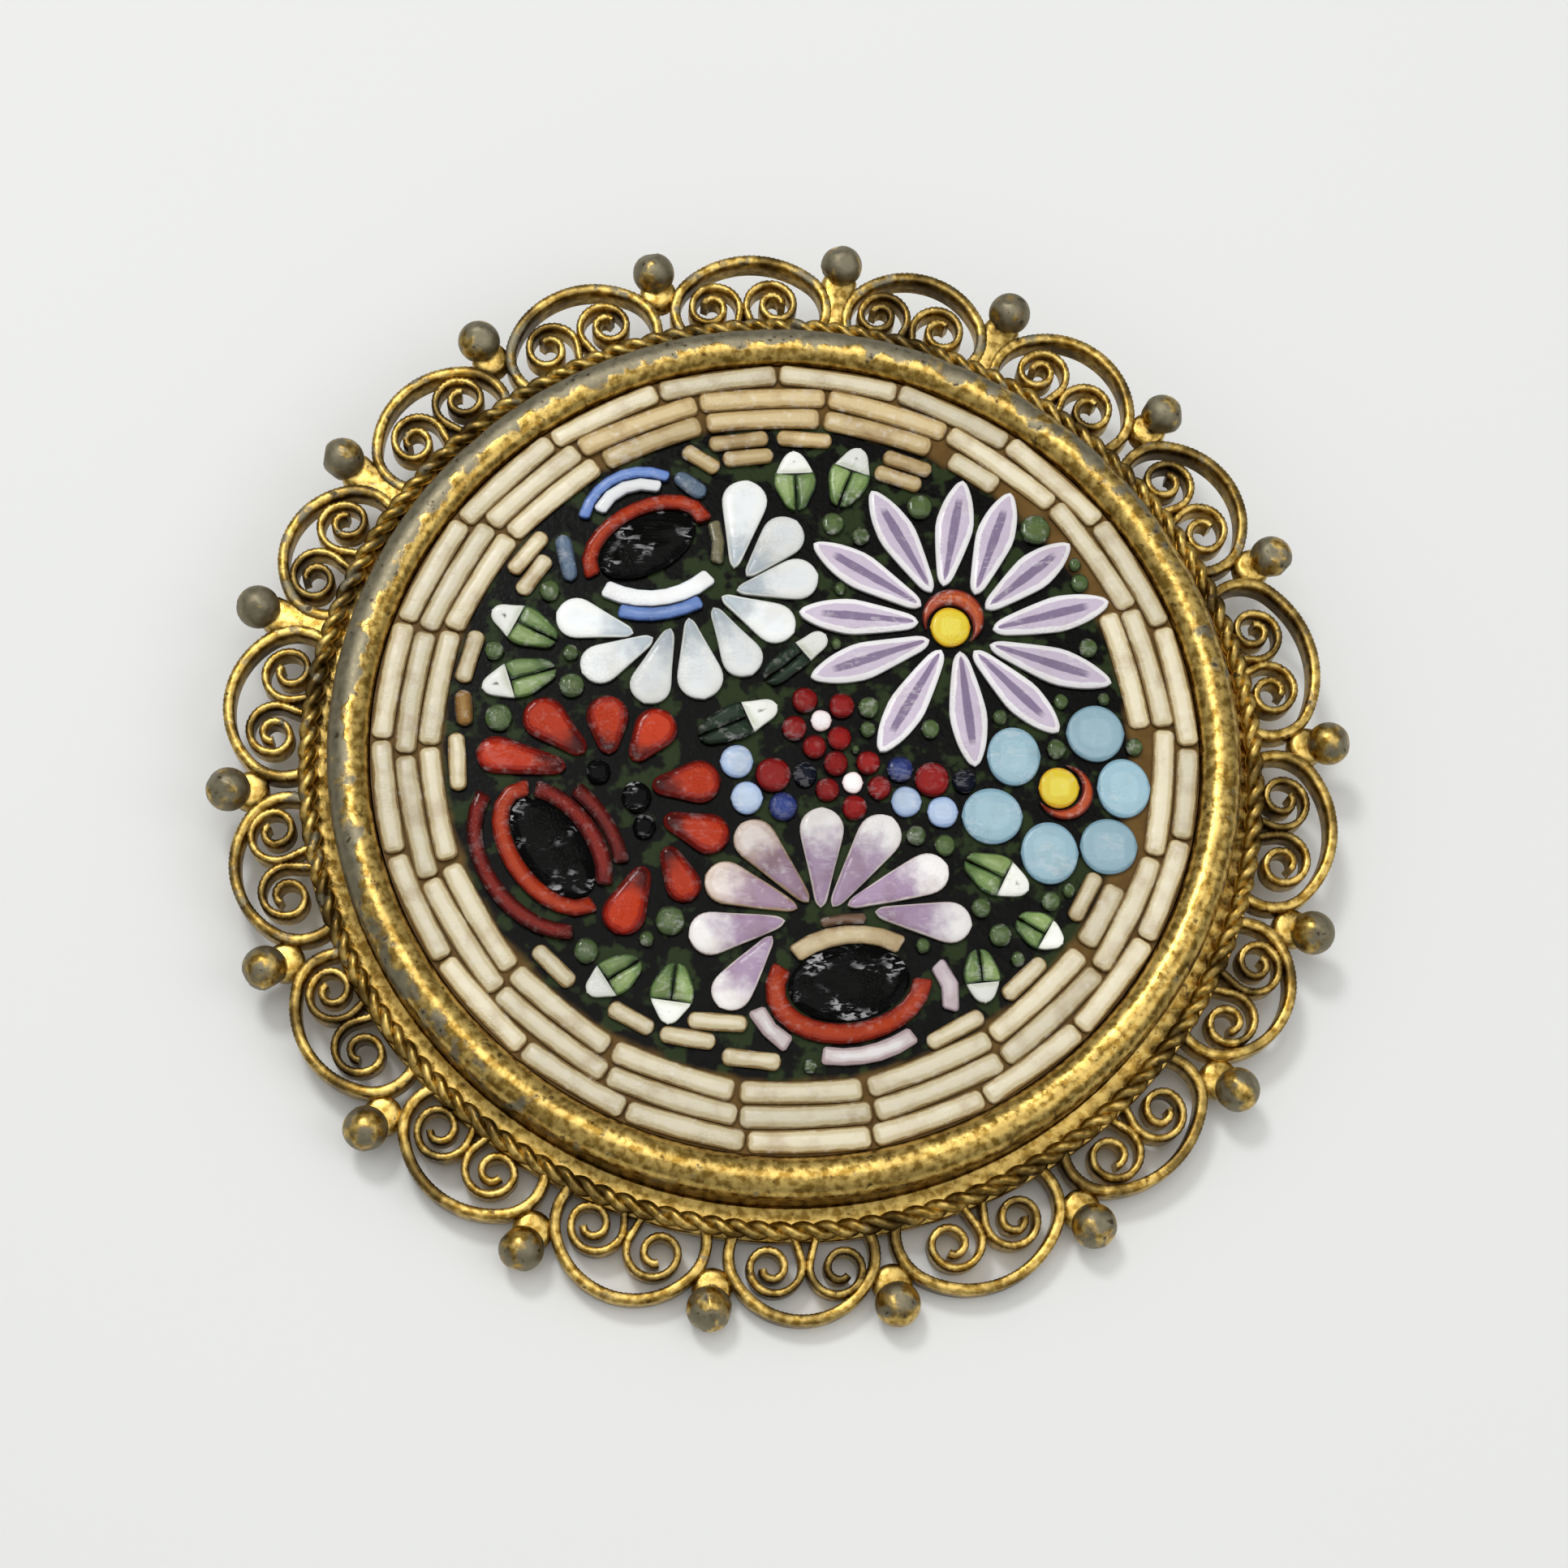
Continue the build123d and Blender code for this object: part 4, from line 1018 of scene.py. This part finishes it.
    def rods(self) -> None:
        """Lay the rings of cream rods."""
        rings = (
            ("rods_outer", zip(OUTER_JOINTS, OUTER_JOINTS[1:] + OUTER_JOINTS[:1])),
            ("rods_middle", zip(MIDDLE_JOINTS, MIDDLE_JOINTS[1:] + MIDDLE_JOINTS[:1])),
            ("rods_inner", INNER_RODS),
        )
        for ring, (name, spans) in enumerate(rings):
            radius = self.rod_ring - ring * self.rod_pitch
            trim = math.degrees(self.rod_gap / 2 / radius)
            for first, last in spans:
                sweep = (last - first) % 360
                line = polar(radius, np.radians(np.linspace(first + trim, first + sweep - trim, 60)))
                chord = straight(line[0], line[-1], 60)
                rise = (line[30] - chord[30]) / 2
                line = line + (chord + rise - line) * self.straightening
                warm = 62 < first + sweep / 2 < 118 and ring > 0
                kind = Glass.CREAM_BROWN if warm else Glass.CREAM
                self.strip(line, self.rod_width, self.corner, kind, dome=0.32, drop=0.13)
            self.close(name, "cream_glass")
        for reach, angle, far_reach, far_angle in SHORT_RODS:
            line = straight(*polar(np.array((reach, far_reach)), np.radians((angle, far_angle))), 20)
            kind = Glass.AMBER if angle == 170.9 else Glass.CREAM_BROWN if 60 < angle < 110 else Glass.CREAM
            self.strip(line, self.short_width, self.corner, kind, dome=0.25, drop=0.12)
        self.close("rods_short", "cream_glass")

    def petals(self) -> None:
        """Lay the petals of the four flowers."""
        for number, (tip, base) in enumerate(DAISY_PETALS, 1):
            length = math.dist(tip, base)
            inner = [(share * length, radius) for share, radius in ((0.3, 0.5), (0.55, 0.68), (0.76, 0.53))]
            self.spine(base, tip, ((0, 0.24), *inner, (length - 0.18, 0.18)), Glass.LAVENDER, dome=0.26)
            self.close(f"daisy_petal_{number}", "lavender_glass")
        flowers = (
            ("white", WHITE_PETALS, Glass.WHITE, "white_glass", 0.16),
            ("pink", PINK_PETALS, Glass.PINK, "pink_glass", 0.16),
            ("poppy", POPPY_PETALS, Glass.RED, "red_glass", 0.32),
        )
        for name, rows, kind, slot, foot in flowers:
            for number, (end, radius, base) in enumerate(rows, 1):
                stained = name == "pink" and number < 3
                circles = ((0, foot), (math.dist(end, base), radius))
                self.spine(base, end, circles, Glass.PINK_STAINED if stained else kind, dome=0.26)
                self.close(f"{name}_petal_{number}", slot)

    def eyes_and_buds(self) -> None:
        """Lay the flowers' eyes and the three buds with their rims."""
        self.eye((5.88, 5.2), 1.1, (5.78, 4.85), 0.72)
        self.close("daisy_eye", "orange_glass")
        self.eye((9.75, -1.42), 1.0, (9.55, -1.28), 0.72)
        self.close("turquoise_eye", "orange_glass")
        for name, row in BUDS.items():
            self.oval(*row, Glass.BLACK, dome=0.5, drop=0.1)
            self.close(f"{name}_bud_stone", "black_glass")
        for name, bands in RIMS.items():
            for row in bands:
                self.band(*row)
            for start, end, width in STEEL_BARS if name == "white" else ():
                self.spine(start, end, ((0, width / 2), (math.dist(start, end), width / 2)), Glass.STEEL)
            self.close(f"{name}_bud_rim", "red_glass" if name == "poppy" else "orange_glass")

    def leaves(self) -> None:
        """Lay the leaves, each of two halves and a white tip."""
        for number, (tip, base, half) in enumerate(LEAVES):
            begin, way = self.axis(base, tip)
            side = np.array((-way[1], way[0]))
            length = math.dist(tip, base)
            foot, point = (self.leaf_base, self.leaf_base), (length - self.leaf_tip, self.leaf_tip)
            places, widths = self.hull((foot, (length / 2, half), point), 60)
            border = length * self.leaf_border
            lower = np.linspace(places[0] + 0.02, border - self.leaf_gap, 14)
            far = np.maximum(np.interp(lower, places, widths), 0.09)
            middle, width = (self.vein + far) / 2, (far - self.vein) / 2
            for hand, kind in ((1, Glass.LEAF_LIGHT), (-1, Glass.LEAF_DARK)):
                line = begin + lower[:, None] * way + hand * side * middle[:, None]
                green = Glass.LEAF_DEEP if number in DARK_LEAVES else kind
                self.tessera(line, width, green, dome=0.2, drop=0.07)
            rest = places[-1] - border - self.leaf_gap
            upper = border + self.leaf_gap + rest * np.sin(np.linspace(0, math.pi / 2, 14))
            width = np.interp(upper, places, widths)
            self.tessera(begin + upper[:, None] * way, width, Glass.LEAF_TIP, dome=0.2, drop=0.07)
        self.close("leaves", "green_glass")

    def dots(self, name: str, slot: str, rows: tuple, kind: Glass | None = None) -> None:
        """Lay the round pieces of a node.

        Args:
            name: The CAD node.
            slot: The record's material slot.
            rows: Each piece's chart point, its radius or half lengths, and its glass if it has its own.
            kind: The glass of all others.
        """
        for centre, halves, *own in rows:
            self.oval(centre, halves, 0, own[0] if own else kind)
        self.close(name, slot)

    def make(self) -> None:
        """Lay the whole picture."""
        self.rods()
        self.petals()
        self.eyes_and_buds()
        self.dots("turquoise_discs", "turquoise_glass", DISCS, Glass.TURQUOISE)
        self.dots("poppy_heart", "black_glass", POPPY_HEART, Glass.BLACK)
        self.dots("red_blossoms", "dark_red_glass", RED_BLOSSOMS, Glass.CRIMSON)
        self.dots("blue_blossoms", "blue_glass", BLUE_BLOSSOMS, Glass.CRIMSON)
        self.leaves()
        self.dots("seeds", "olive_glass", SEEDS, Glass.OLIVE)


@dataclass
class Setting:
    """The gilt setting: cup and bezel, rope, flat wires, balls, hinge and catch.

    Attributes:
        builder: Makes the objects.
        bezel: Inner edge, crown and outer edge of the bezel, as radius and height.
        plate_top: Height of the plate inside the cup.
        ledge: Radius and height of the ledge around the cup.
        dents: Waves around the bezel's crown that its dents add up from.
        rope: Radius of the rope's ring, its height and its own radius.
        strand: Radius of one of its two strands.
        twists: Turns of the strands.
        foot_radius: Where the spirals' feet start.
        shoulder_radius: Distance of the arches' shoulders.
        crown_radius: Distance of the arches' crowns.
        shoulder_gap: How far an arch stays off the middle of its balls.
        shoulder_share: Radius of its shoulders, as a share of its height.
        leg_turn: How far an arch's legs turn in, in degrees.
        arch_wire: Width of the arches' wire.
        spiral_wire: Width of the spirals' wire.
        horn_radii: A spiral's radius in each quarter turn.
        horn_crown: Distance of the spirals' crowns.
        horn_gap: Half the gap between the two spirals of an arch.
        horn_lean: Lean of their feet, in degrees.
        milling: Distance of the notches in the wires' top edges.
        arch_notch: Depth of the arches' notches.
        spiral_notch: Depth of the spirals' notches.
        ball: Radius of the balls' ring, their height and their own radius.
        flats: Number of worn flats on a ball.
        solder: Radius of the solder's ring, its own radius, its bottom and its top.
        wire_half: Half the width of the solder that fills a gap.
        rivet_x: Place of the hinge.
        catch_x: Where the catch starts.
        catch_length: Its length.
        ear: Half length and depth of the hinge's ears.
        ear_places: Where each ear starts and ends, from the pin's line.
        rivet_radius: Radius of the rivet between them.
        hook_radii: Outer and inner radius of the catch.
        random: The hand-made unevenness.
    """

    builder: Builder
    bezel: tuple = ((15.0, 1.6), (15.696, 2.1), (16.45, 1.1))
    plate_top: float = -0.5
    ledge: tuple = (17.65, -0.33)
    dents: tuple = (7, 13, 23, 41, 67)
    rope: tuple = (17.31, -0.01, 0.36)
    strand: float = 0.2
    twists: int = 69
    foot_radius: float = 17.5
    shoulder_radius: float = 18.15
    crown_radius: float = 20.25
    shoulder_gap: float = 0.425
    shoulder_share: float = 0.76
    leg_turn: float = 38.5
    arch_wire: float = 0.4
    spiral_wire: float = 0.28
    horn_radii: tuple = (0.94, 0.88, 0.62, 0.58, 0.42, 0.34, 0.28)
    horn_crown: float = 19.2
    horn_gap: float = 0.13
    horn_lean: float = 15
    milling: float = 0.09
    arch_notch: float = 0.022
    spiral_notch: float = 0.05
    ball: tuple = (20.15, -0.1, 0.8)
    flats: int = 4
    solder: tuple = (19.4, 0.7, -0.85, -0.15)
    wire_half: float = 0.4
    rivet_x: float = -12.0
    catch_x: float = 10.6
    catch_length: float = 2.2
    ear: tuple = (0.85, 0.81)
    ear_places: tuple = ((-1.1, -0.5), (0.5, 1.1))
    rivet_radius: float = 0.25
    hook_radii: tuple = (0.9, 0.55)
    random: np.random.Generator = field(default_factory=lambda: np.random.default_rng(3))

    def build(self, name: str, shape: Shape, kind: Metal = Metal.WIRE, **more: object) -> None:
        """Make one piece of the setting of one metal."""
        self.builder.build(name, shape, [self.builder.palette.metal(kind)], "gilt_brass", **more)

    @staticmethod
    def rubbed(angle: np.ndarray) -> np.ndarray:
        """Say how worn the metal is at an angle, from 0 to 1: most on the far and left side."""
        return 0.5 + 0.5 * np.cos(angle - math.radians(125))

    def bezel_arc(self) -> list:
        """Draw the bezel's profile, the arc through its inner edge, crown and outer edge.

        Returns:
            Its points, as radius and height.
        """
        (ax, ay), (bx, by), (cx, cy) = self.bezel
        scale = 2 * (ax * (by - cy) + bx * (cy - ay) + cx * (ay - by))
        a, b, c = (x * x + y * y for x, y in self.bezel)
        x0 = (a * (by - cy) + b * (cy - ay) + c * (ay - by)) / scale
        y0 = (a * (cx - bx) + b * (ax - cx) + c * (bx - ax)) / scale
        radius = math.dist((x0, y0), self.bezel[0])
        start, stop = math.atan2(ay - y0, ax - x0), math.atan2(cy - y0, cx - x0)
        return [(x0 + radius * math.cos(t), y0 + radius * math.sin(t)) for t in np.linspace(start, stop, 15)]

    def cup(self) -> None:
        """Turn the plate, the wall, the half-round bezel and the ledge."""
        (inner, _), _, (outer, _) = self.bezel
        edge, ledge = self.ledge
        soft = 0.04
        arc = self.bezel_arc()
        plate = self.plate_top
        inside = [(0.01, plate), (inner - 0.03, plate), (inner, plate + 0.03), (inner, 0.6)]
        wall = [(outer, 0.75), (outer, 0.3), (outer, ledge + 0.06), (outer + 0.06, ledge)]
        rim = [(17.1, ledge), (edge - soft, ledge), (edge, ledge - soft), (edge, BACK_Z + soft)]
        back = [(x, BACK_Z) for x in (edge - soft, 12.0, 6.0, 0.01)]
        profile = np.array(inside + arc + wall + rim + back)
        first, last = len(inside), len(inside) + len(arc)
        turn = turning(480)
        bezel, outward = np.zeros((2, len(profile)))
        bezel[first:last] = np.sin(np.linspace(0, math.pi, len(arc)))
        depth = 0.010
        waves = [self.random.uniform(0, 6.28, 2) for _ in self.dents]
        wobble = sum(np.sin(turn * n + p[0]) * depth for n, p in zip(self.dents, waves))
        dent = np.abs(wobble[:, None] * bezel)
        points = np.dstack((polar(profile[:, 0] - dent, turn[:, None]), profile[:, 1] - dent))
        outward[first:last] = np.clip((np.linspace(0, 1, len(arc)) - 0.12) * 2.4, 0, 1)
        outward[last:last + 2] = 0.8
        shape = Shape()
        shape.add(points, grid_faces(*dent.shape, ring=True, tube=True),
                  worn=outward * (0.1 + 0.85 * self.rubbed(turn))[:, None])
        self.build("cup_and_bezel", shape, Metal.BEZEL, replaces=("setting",), sharp=50)

    def twisted_rope(self) -> None:
        """Twist the two strands of the rope ring."""
        shape = Shape()
        ring, height, radius = self.rope
        around, angles = turning(self.twists * 16), turning(10)
        offset = radius - self.strand
        for start in (0, math.pi):
            twist = self.twists * around + start
            level = height + offset * np.sin(twist)
            centre = np.column_stack((polar(ring - offset * np.cos(twist), around), level))
            tangent = np.roll(centre, -1, axis=0) - np.roll(centre, 1, axis=0)
            tangent /= np.linalg.norm(tangent, axis=1)[:, None]
            first = np.cross(tangent, (0.0, 0.0, 1.0))
            first /= np.linalg.norm(first, axis=1)[:, None]
            section = polar(self.strand, angles)
            second = np.cross(tangent, first)
            points = centre[:, None] + section[:, :1] * first[:, None] + section[:, 1:] * second[:, None]
            worn = np.repeat(0.15 + 0.2 * self.rubbed(around), len(angles))
            shape.add(points, grid_faces(*points.shape[:2], ring=True, tube=True), flip=True, worn=worn)
        self.build("rope_ring", shape)

    @staticmethod
    def scallop(index: int) -> tuple[float, float]:
        """Give the place of a scallop.

        Args:
            index: Its number.

        Returns:
            Its middle angle and half its pitch, in degrees.
        """
        first = SCALLOPS[index][0]
        pitch = (SCALLOPS[(index + 1) % len(SCALLOPS)][0] - first) % 360
        return first + pitch / 2, pitch / 2

    def arch_line(self, index: int) -> np.ndarray:
        """Give the line of an arch, with its crown towards +y.

        Args:
            index: The scallop's number.

        Returns:
            Its points.
        """
        low = self.shoulder_radius
        half = low * math.tan(math.radians(self.scallop(index)[1])) - self.shoulder_gap
        height = self.crown_radius + SCALLOPS[index][1] - low
        shoulder = self.shoulder_share * height
        centre = half - shoulder
        crown = (centre ** 2 + height ** 2 - shoulder ** 2) / (2 * (height - shoulder))
        crown_y = low + height - crown
        meeting = math.atan2(low - crown_y, centre)
        leg = math.radians(self.leg_turn)
        return self.arcs_line((
            (centre, low, shoulder, -leg, meeting), (0, crown_y, crown, meeting, math.pi - meeting),
            (-centre, low, shoulder, math.pi - meeting, math.pi + leg),
        ))

    @staticmethod
    def arcs_line(arcs: tuple) -> np.ndarray:
        """String arcs together.

        Args:
            arcs: Each arc's centre, radius, first and last angle.

        Returns:
            Points of the line.
        """
        parts = []
        for x, y, radius, first, last in arcs:
            part = polar(radius, np.linspace(first, last, 24)) + (x, y)
            parts.append(part[1:] if parts else part)
        return np.vstack(parts)

    def horn_line(self, side: int, quarters: float, rise: float) -> np.ndarray:
        """Give the line of one horn.

        Args:
            side: 1 or -1.
            quarters: Its quarter turns.
            rise: How far it stands off the rope.

        Returns:
            Its points.
        """
        radius, sweep, heading = self.horn_radii[0], 90 + self.horn_lean, 180 + self.horn_lean
        x, y = side * (self.horn_gap + radius), self.horn_crown + rise - radius
        start_x, start_y = np.array((side, 1)) * polar(radius, math.radians(heading)) + (x, y)
        lean = math.tan(math.radians(self.horn_lean))
        foot = (start_x + side * (start_y - self.foot_radius) * lean, self.foot_radius)
        arcs = []
        for count in range(math.ceil(quarters)):
            part = min(1, quarters - count)
            first = heading if side > 0 else 180 - heading
            arcs.append((x, y, radius, math.radians(first), math.radians(first - side * sweep * part)))
            heading -= sweep
            sweep = 90
            smaller = self.horn_radii[min(count + 1, len(self.horn_radii) - 1)]
            x += side * (radius - smaller) * math.cos(math.radians(heading))
            y += (radius - smaller) * math.sin(math.radians(heading))
            radius = smaller
        return np.vstack((foot, self.arcs_line(arcs)))

    def ribbon(
        self, shape: Shape, line: np.ndarray, turn: float, width: float, notch: float, worn: float,
    ) -> None:
        """Add a flat wire on edge, with its top edge milled.

        Args:
            shape: Where it goes.
            line: Its line, with the crown towards +y.
            turn: Angle of +y around the brooch, in degrees.
            width: The wire's thickness.
            notch: Depth of the milling.
            worn: Its wear.
        """
        run = run_along(line)[-1]
        count = max(8, int(run / self.milling)) | 1
        spots = np.linspace(0, run, count)
        flat = respaced(line, spots)
        normal = directions(flat)[1]
        half, soft, waist = width / 2, 0.07, -0.5
        side = ((half, BACK_Z), (half, waist), (half, -soft), (half - soft, 0))
        section = (*((-x, z) for x, z in side), (0, 0), *side[::-1])
        beat = (np.arange(count) % 2) * notch * self.random.uniform(0.6, 1.0, count)
        sway = 0.012 * np.sin(spots * self.random.uniform(0.8, 1.6) + self.random.uniform(0, 6))
        rows = []
        for offset, height in section:
            upper = height > waist
            narrow = 1 - 0.12 * beat / notch if upper else np.ones(count)
            level = height - beat - np.abs(sway) if upper else np.full(count, height)
            rows.append(np.column_stack((flat + normal * (offset * narrow)[:, None], level)))
        grid = np.stack(rows, axis=1)
        ahead, aside = polar(1, math.radians(turn - 90))
        grid[:, :, :2] = grid[:, :, :2] @ np.array(((ahead, aside), (-aside, ahead)))
        lower = np.tile([0.0 if z > waist else -0.35 for _, z in section], count)
        faces = grid_faces(count, len(section), tube=True, capped=True)
        shape.add(grid, faces, worn=np.clip(worn + lower, 0, 1))

    def wires(self) -> None:
        """Bend the arches and the spirals."""
        arches, spirals = Shape(), Shape()
        for index, (_, _, twins, low, high) in enumerate(SCALLOPS):
            middle = self.scallop(index)[0]
            rub = float(self.rubbed(np.radians(middle)))
            arch = self.arch_line(index)
            self.ribbon(arches, arch, middle, self.arch_wire, self.arch_notch, 0.12 + 0.3 * rub)
            for side, form in ((1, low), (-1, high)):
                horn, wear = self.horn_line(side, *form), 0.1 + 0.12 * rub
                self.ribbon(spirals, horn, middle + twins, self.spiral_wire, self.spiral_notch, wear)
        self.build("arches", arches, sharp=60)
        self.build("spirals", spirals, sharp=60)

    def balls(self) -> None:
        """Set the balls, with small flats, on their solder."""
        shape = Shape()
        rows, columns = 17, 28
        down = np.linspace(0.02, math.pi - 0.02, rows)[:, None]
        sides = polar(np.sin(down), turning(columns))
        sphere = np.dstack((sides, np.repeat(np.cos(down), columns, axis=1)))
        faces = grid_faces(rows, columns, tube=True, capped=True)
        ring, height, radius = self.ball
        for index, row in enumerate(SCALLOPS):
            angle = math.radians(row[0])
            way = polar(1, angle)
            size = np.ones(sphere.shape[:2])
            for _ in range(self.flats):
                flat = self.random.normal(size=3)
                flat /= np.linalg.norm(flat)
                facing = sphere @ flat
                limit = self.random.uniform(0.86, 0.95)
                size = np.where(facing * size > limit, limit / np.maximum(facing, 1e-3), size)
            points = np.append(way * ring, height) + radius * size[..., None] * sphere
            shape.add(points, faces, flip=True, worn=0.5 + 0.18 * self.rubbed(angle))
            self.add_solder(shape, way, index in FILLED_GAPS)
        self.build("balls_and_solder", shape, Metal.BEAD, sharp=60)

    def add_solder(self, shape: Shape, way: np.ndarray, filled: bool) -> None:
        """Add the solder under one ball.

        Args:
            shape: Where it goes.
            way: Direction of the ball from the middle.
            filled: Whether it fills the gap down to the rope.
        """
        ring, radius, bottom, top = self.solder
        outline = polar(radius, turning(24))
        if filled:
            pulled = outline * (1, self.wire_half / radius) - (ring - self.foot_radius, 0)
            outline = np.where(outline[:, :1] < 0, pulled, outline)
        side = np.array((-way[1], way[0]))
        points = []
        for scale, height in ((1.0, bottom), (1.0, top - 0.2), (0.93, top - 0.06), (0.7, top), (0.2, top)):
            flat = outline * scale
            place = (ring + flat[:, :1]) * way + flat[:, 1:] * side
            points.append(np.column_stack((place, np.full(len(place), height))))
        shape.add(points, grid_faces(len(points), len(outline), tube=True, capped=True), worn=0.1)

    @staticmethod
    def prism(shape: Shape, outline: np.ndarray, first: float, last: float, along_y: bool) -> None:
        """Add a piece of one outline, with z as its second column, from first to last along y or x."""
        rows = [np.insert(outline, 1 if along_y else 0, place, axis=1) for place in (first, last)]
        shape.add(rows, grid_faces(2, len(outline), tube=True, capped=True), worn=0.2)

    def findings(self) -> None:
        """Make the hinge's ears, the rivet and the catch."""
        shape = Shape()
        inset = BACK_Z + 0.1
        hinge, catch = np.array((self.rivet_x, PIN_Z)), np.array((FINDINGS_Y, PIN_Z))
        half, depth = self.ear
        ear = hinge + polar(1, np.linspace(math.pi, 2 * math.pi, 20)) * (half, depth)
        ear = np.vstack((ear, ((self.rivet_x + half, inset), (self.rivet_x - half, inset))))
        for start, end in self.ear_places:
            self.prism(shape, ear, FINDINGS_Y + start, FINDINGS_Y + end, True)
        rivet = hinge + polar(self.rivet_radius, turning(20))
        self.prism(shape, rivet, FINDINGS_Y - 1.0, FINDINGS_Y + 1.0, True)
        bend = np.linspace(math.pi, 2.5 * math.pi, 40)
        count = len(bend)
        hook = np.vstack([catch + polar(radius, bend) for radius in self.hook_radii])
        rows = [np.insert(hook, 0, x, axis=1) for x in (self.catch_x, self.catch_x + self.catch_length)]
        faces = []
        for i in range(count - 1):
            inner, far, both = count + i, 2 * count + i, 3 * count + i
            faces += [(i, i + 1, far + 1, far), (inner + 1, inner, both, both + 1)]
            faces += [(i + 1, i, inner, inner + 1), (far, far + 1, both + 1, both)]
        shape.add(rows, faces, worn=0.2)
        post = np.array(((0.1, PIN_Z + 0.65), (0.9, PIN_Z), (0.9, inset), (0.1, inset))) + (FINDINGS_Y, 0)
        self.prism(shape, post, self.catch_x, self.catch_x + self.catch_length, False)
        self.build("hinge_and_catch", shape, sharp=30)

    def make(self) -> None:
        """Make the whole setting."""
        self.cup()
        self.twisted_rope()
        self.wires()
        self.balls()
        self.findings()


@dataclass
class Stage:
    """Floor, light and camera.

    Attributes:
        builder: Holds the level frame and the materials.
        focal: The camera's focal length, in pixels of the photograph.
        pixels: The photograph's width.
        distance: From the brooch's middle to the camera, in millimetres.
        angles: The camera's turn, height and roll, in degrees.
        shift: How far it stands off to the right and up, in millimetres.
        reach: Half the floor's width, in metres.
        lights: Each light's name, place, side and power in watts.
    """

    builder: Builder
    focal: float = 3500
    pixels: float = 1932
    distance: float = 103.67
    angles: tuple = (-10.84, 72.12, 10.84)
    shift: tuple = (-0.06, -1.0)
    reach: float = 1.5
    lights: tuple = (
        ("key", (-70, 110, 240), 60, 0.2), ("fill", (160, -60, 200), 160, 0.08),
        ("top", (-20, 20, 400), 260, 0.3),
    )

    def camera(self) -> None:
        """Set the camera as the photograph was taken."""
        matrix = self.builder.level.matrix()
        a, e, r = (math.radians(angle) for angle in self.angles)
        back = Vector((math.sin(a) * math.cos(e), -math.cos(a) * math.cos(e), math.sin(e)))
        right = Vector((math.cos(a), math.sin(a), 0))
        up = back.cross(right)
        across = math.cos(r) * right + math.sin(r) * up
        above = -math.sin(r) * right + math.cos(r) * up
        place = back * self.distance + self.shift[0] * across + self.shift[1] * above
        turned = Matrix((across, above, back)).transposed().to_4x4()
        data = bpy.data.cameras.new("camera")
        data.sensor_width = 36
        data.lens = self.focal / self.pixels * 36
        data.clip_start = 0.005
        made = put("camera", data)
        level = matrix.to_quaternion().to_matrix().to_4x4()
        made.matrix_world = Matrix.Translation(matrix @ place) @ level @ turned
        bpy.context.scene.camera = made

    @staticmethod
    def light(name: str, place: tuple, size: float, power: float) -> None:
        """Hang a soft light that faces the brooch.

        Args:
            name: Its name.
            place: Where it hangs, in millimetres.
            size: Its width, in millimetres.
            power: Its power in watts.
        """
        data = bpy.data.lights.new(name, "AREA")
        data.shape = "DISK"
        data.size = size / 1000
        data.energy = power
        made = put(name, data)
        made.location = Vector(place) / 1000
        made.rotation_euler = (-made.location).to_track_quat("-Z", "Y").to_euler()

    def make(self) -> None:
        """Set up floor, light and camera."""
        mesh = bpy.data.meshes.new("floor")
        corners = [(x * self.reach, y * self.reach, 0) for x, y in ((-1, -1), (1, -1), (1, 1), (-1, 1))]
        mesh.from_pydata(corners, [], [(0, 1, 2, 3)])
        mesh.materials.append(self.builder.palette.paper())
        put("floor", mesh)
        for row in self.lights:
            self.light(*row)
        world = bpy.data.worlds.new("studio")
        bpy.context.scene.world = world
        world.use_nodes = True
        shader = Shader(world.node_tree)
        up = shader.node("SeparateXYZ", Vector=shader.node("TexCoord").outputs["Generated"]).outputs[2]
        glow = shader.ramp(up, -0.1, 0.9, 0.2, 0.62)
        ground = shader.node("Background", Color=(1, 1, 0.985, 1), Strength=glow)
        shader.node("OutputWorld", Surface=ground.outputs[0])
        bpy.context.scene.view_settings.view_transform = "Standard"
        self.camera()


def main() -> None:
    """Build the brooch's looks and its stage."""
    logging.basicConfig(level=logging.INFO)
    palette = Palette()
    builder = Builder(Level.from_record(frame["record"]), palette)
    Stage(builder).make()
    Setting(builder).make()
    Mosaic(builder).make()
    for node, material in (("bed", palette.mastic()), ("pin", palette.metal(Metal.PIN))):
        mesh = frame["nodes"][node].data
        mesh.materials.clear()
        mesh.materials.append(material)


if __name__ == "__main__":
    main()
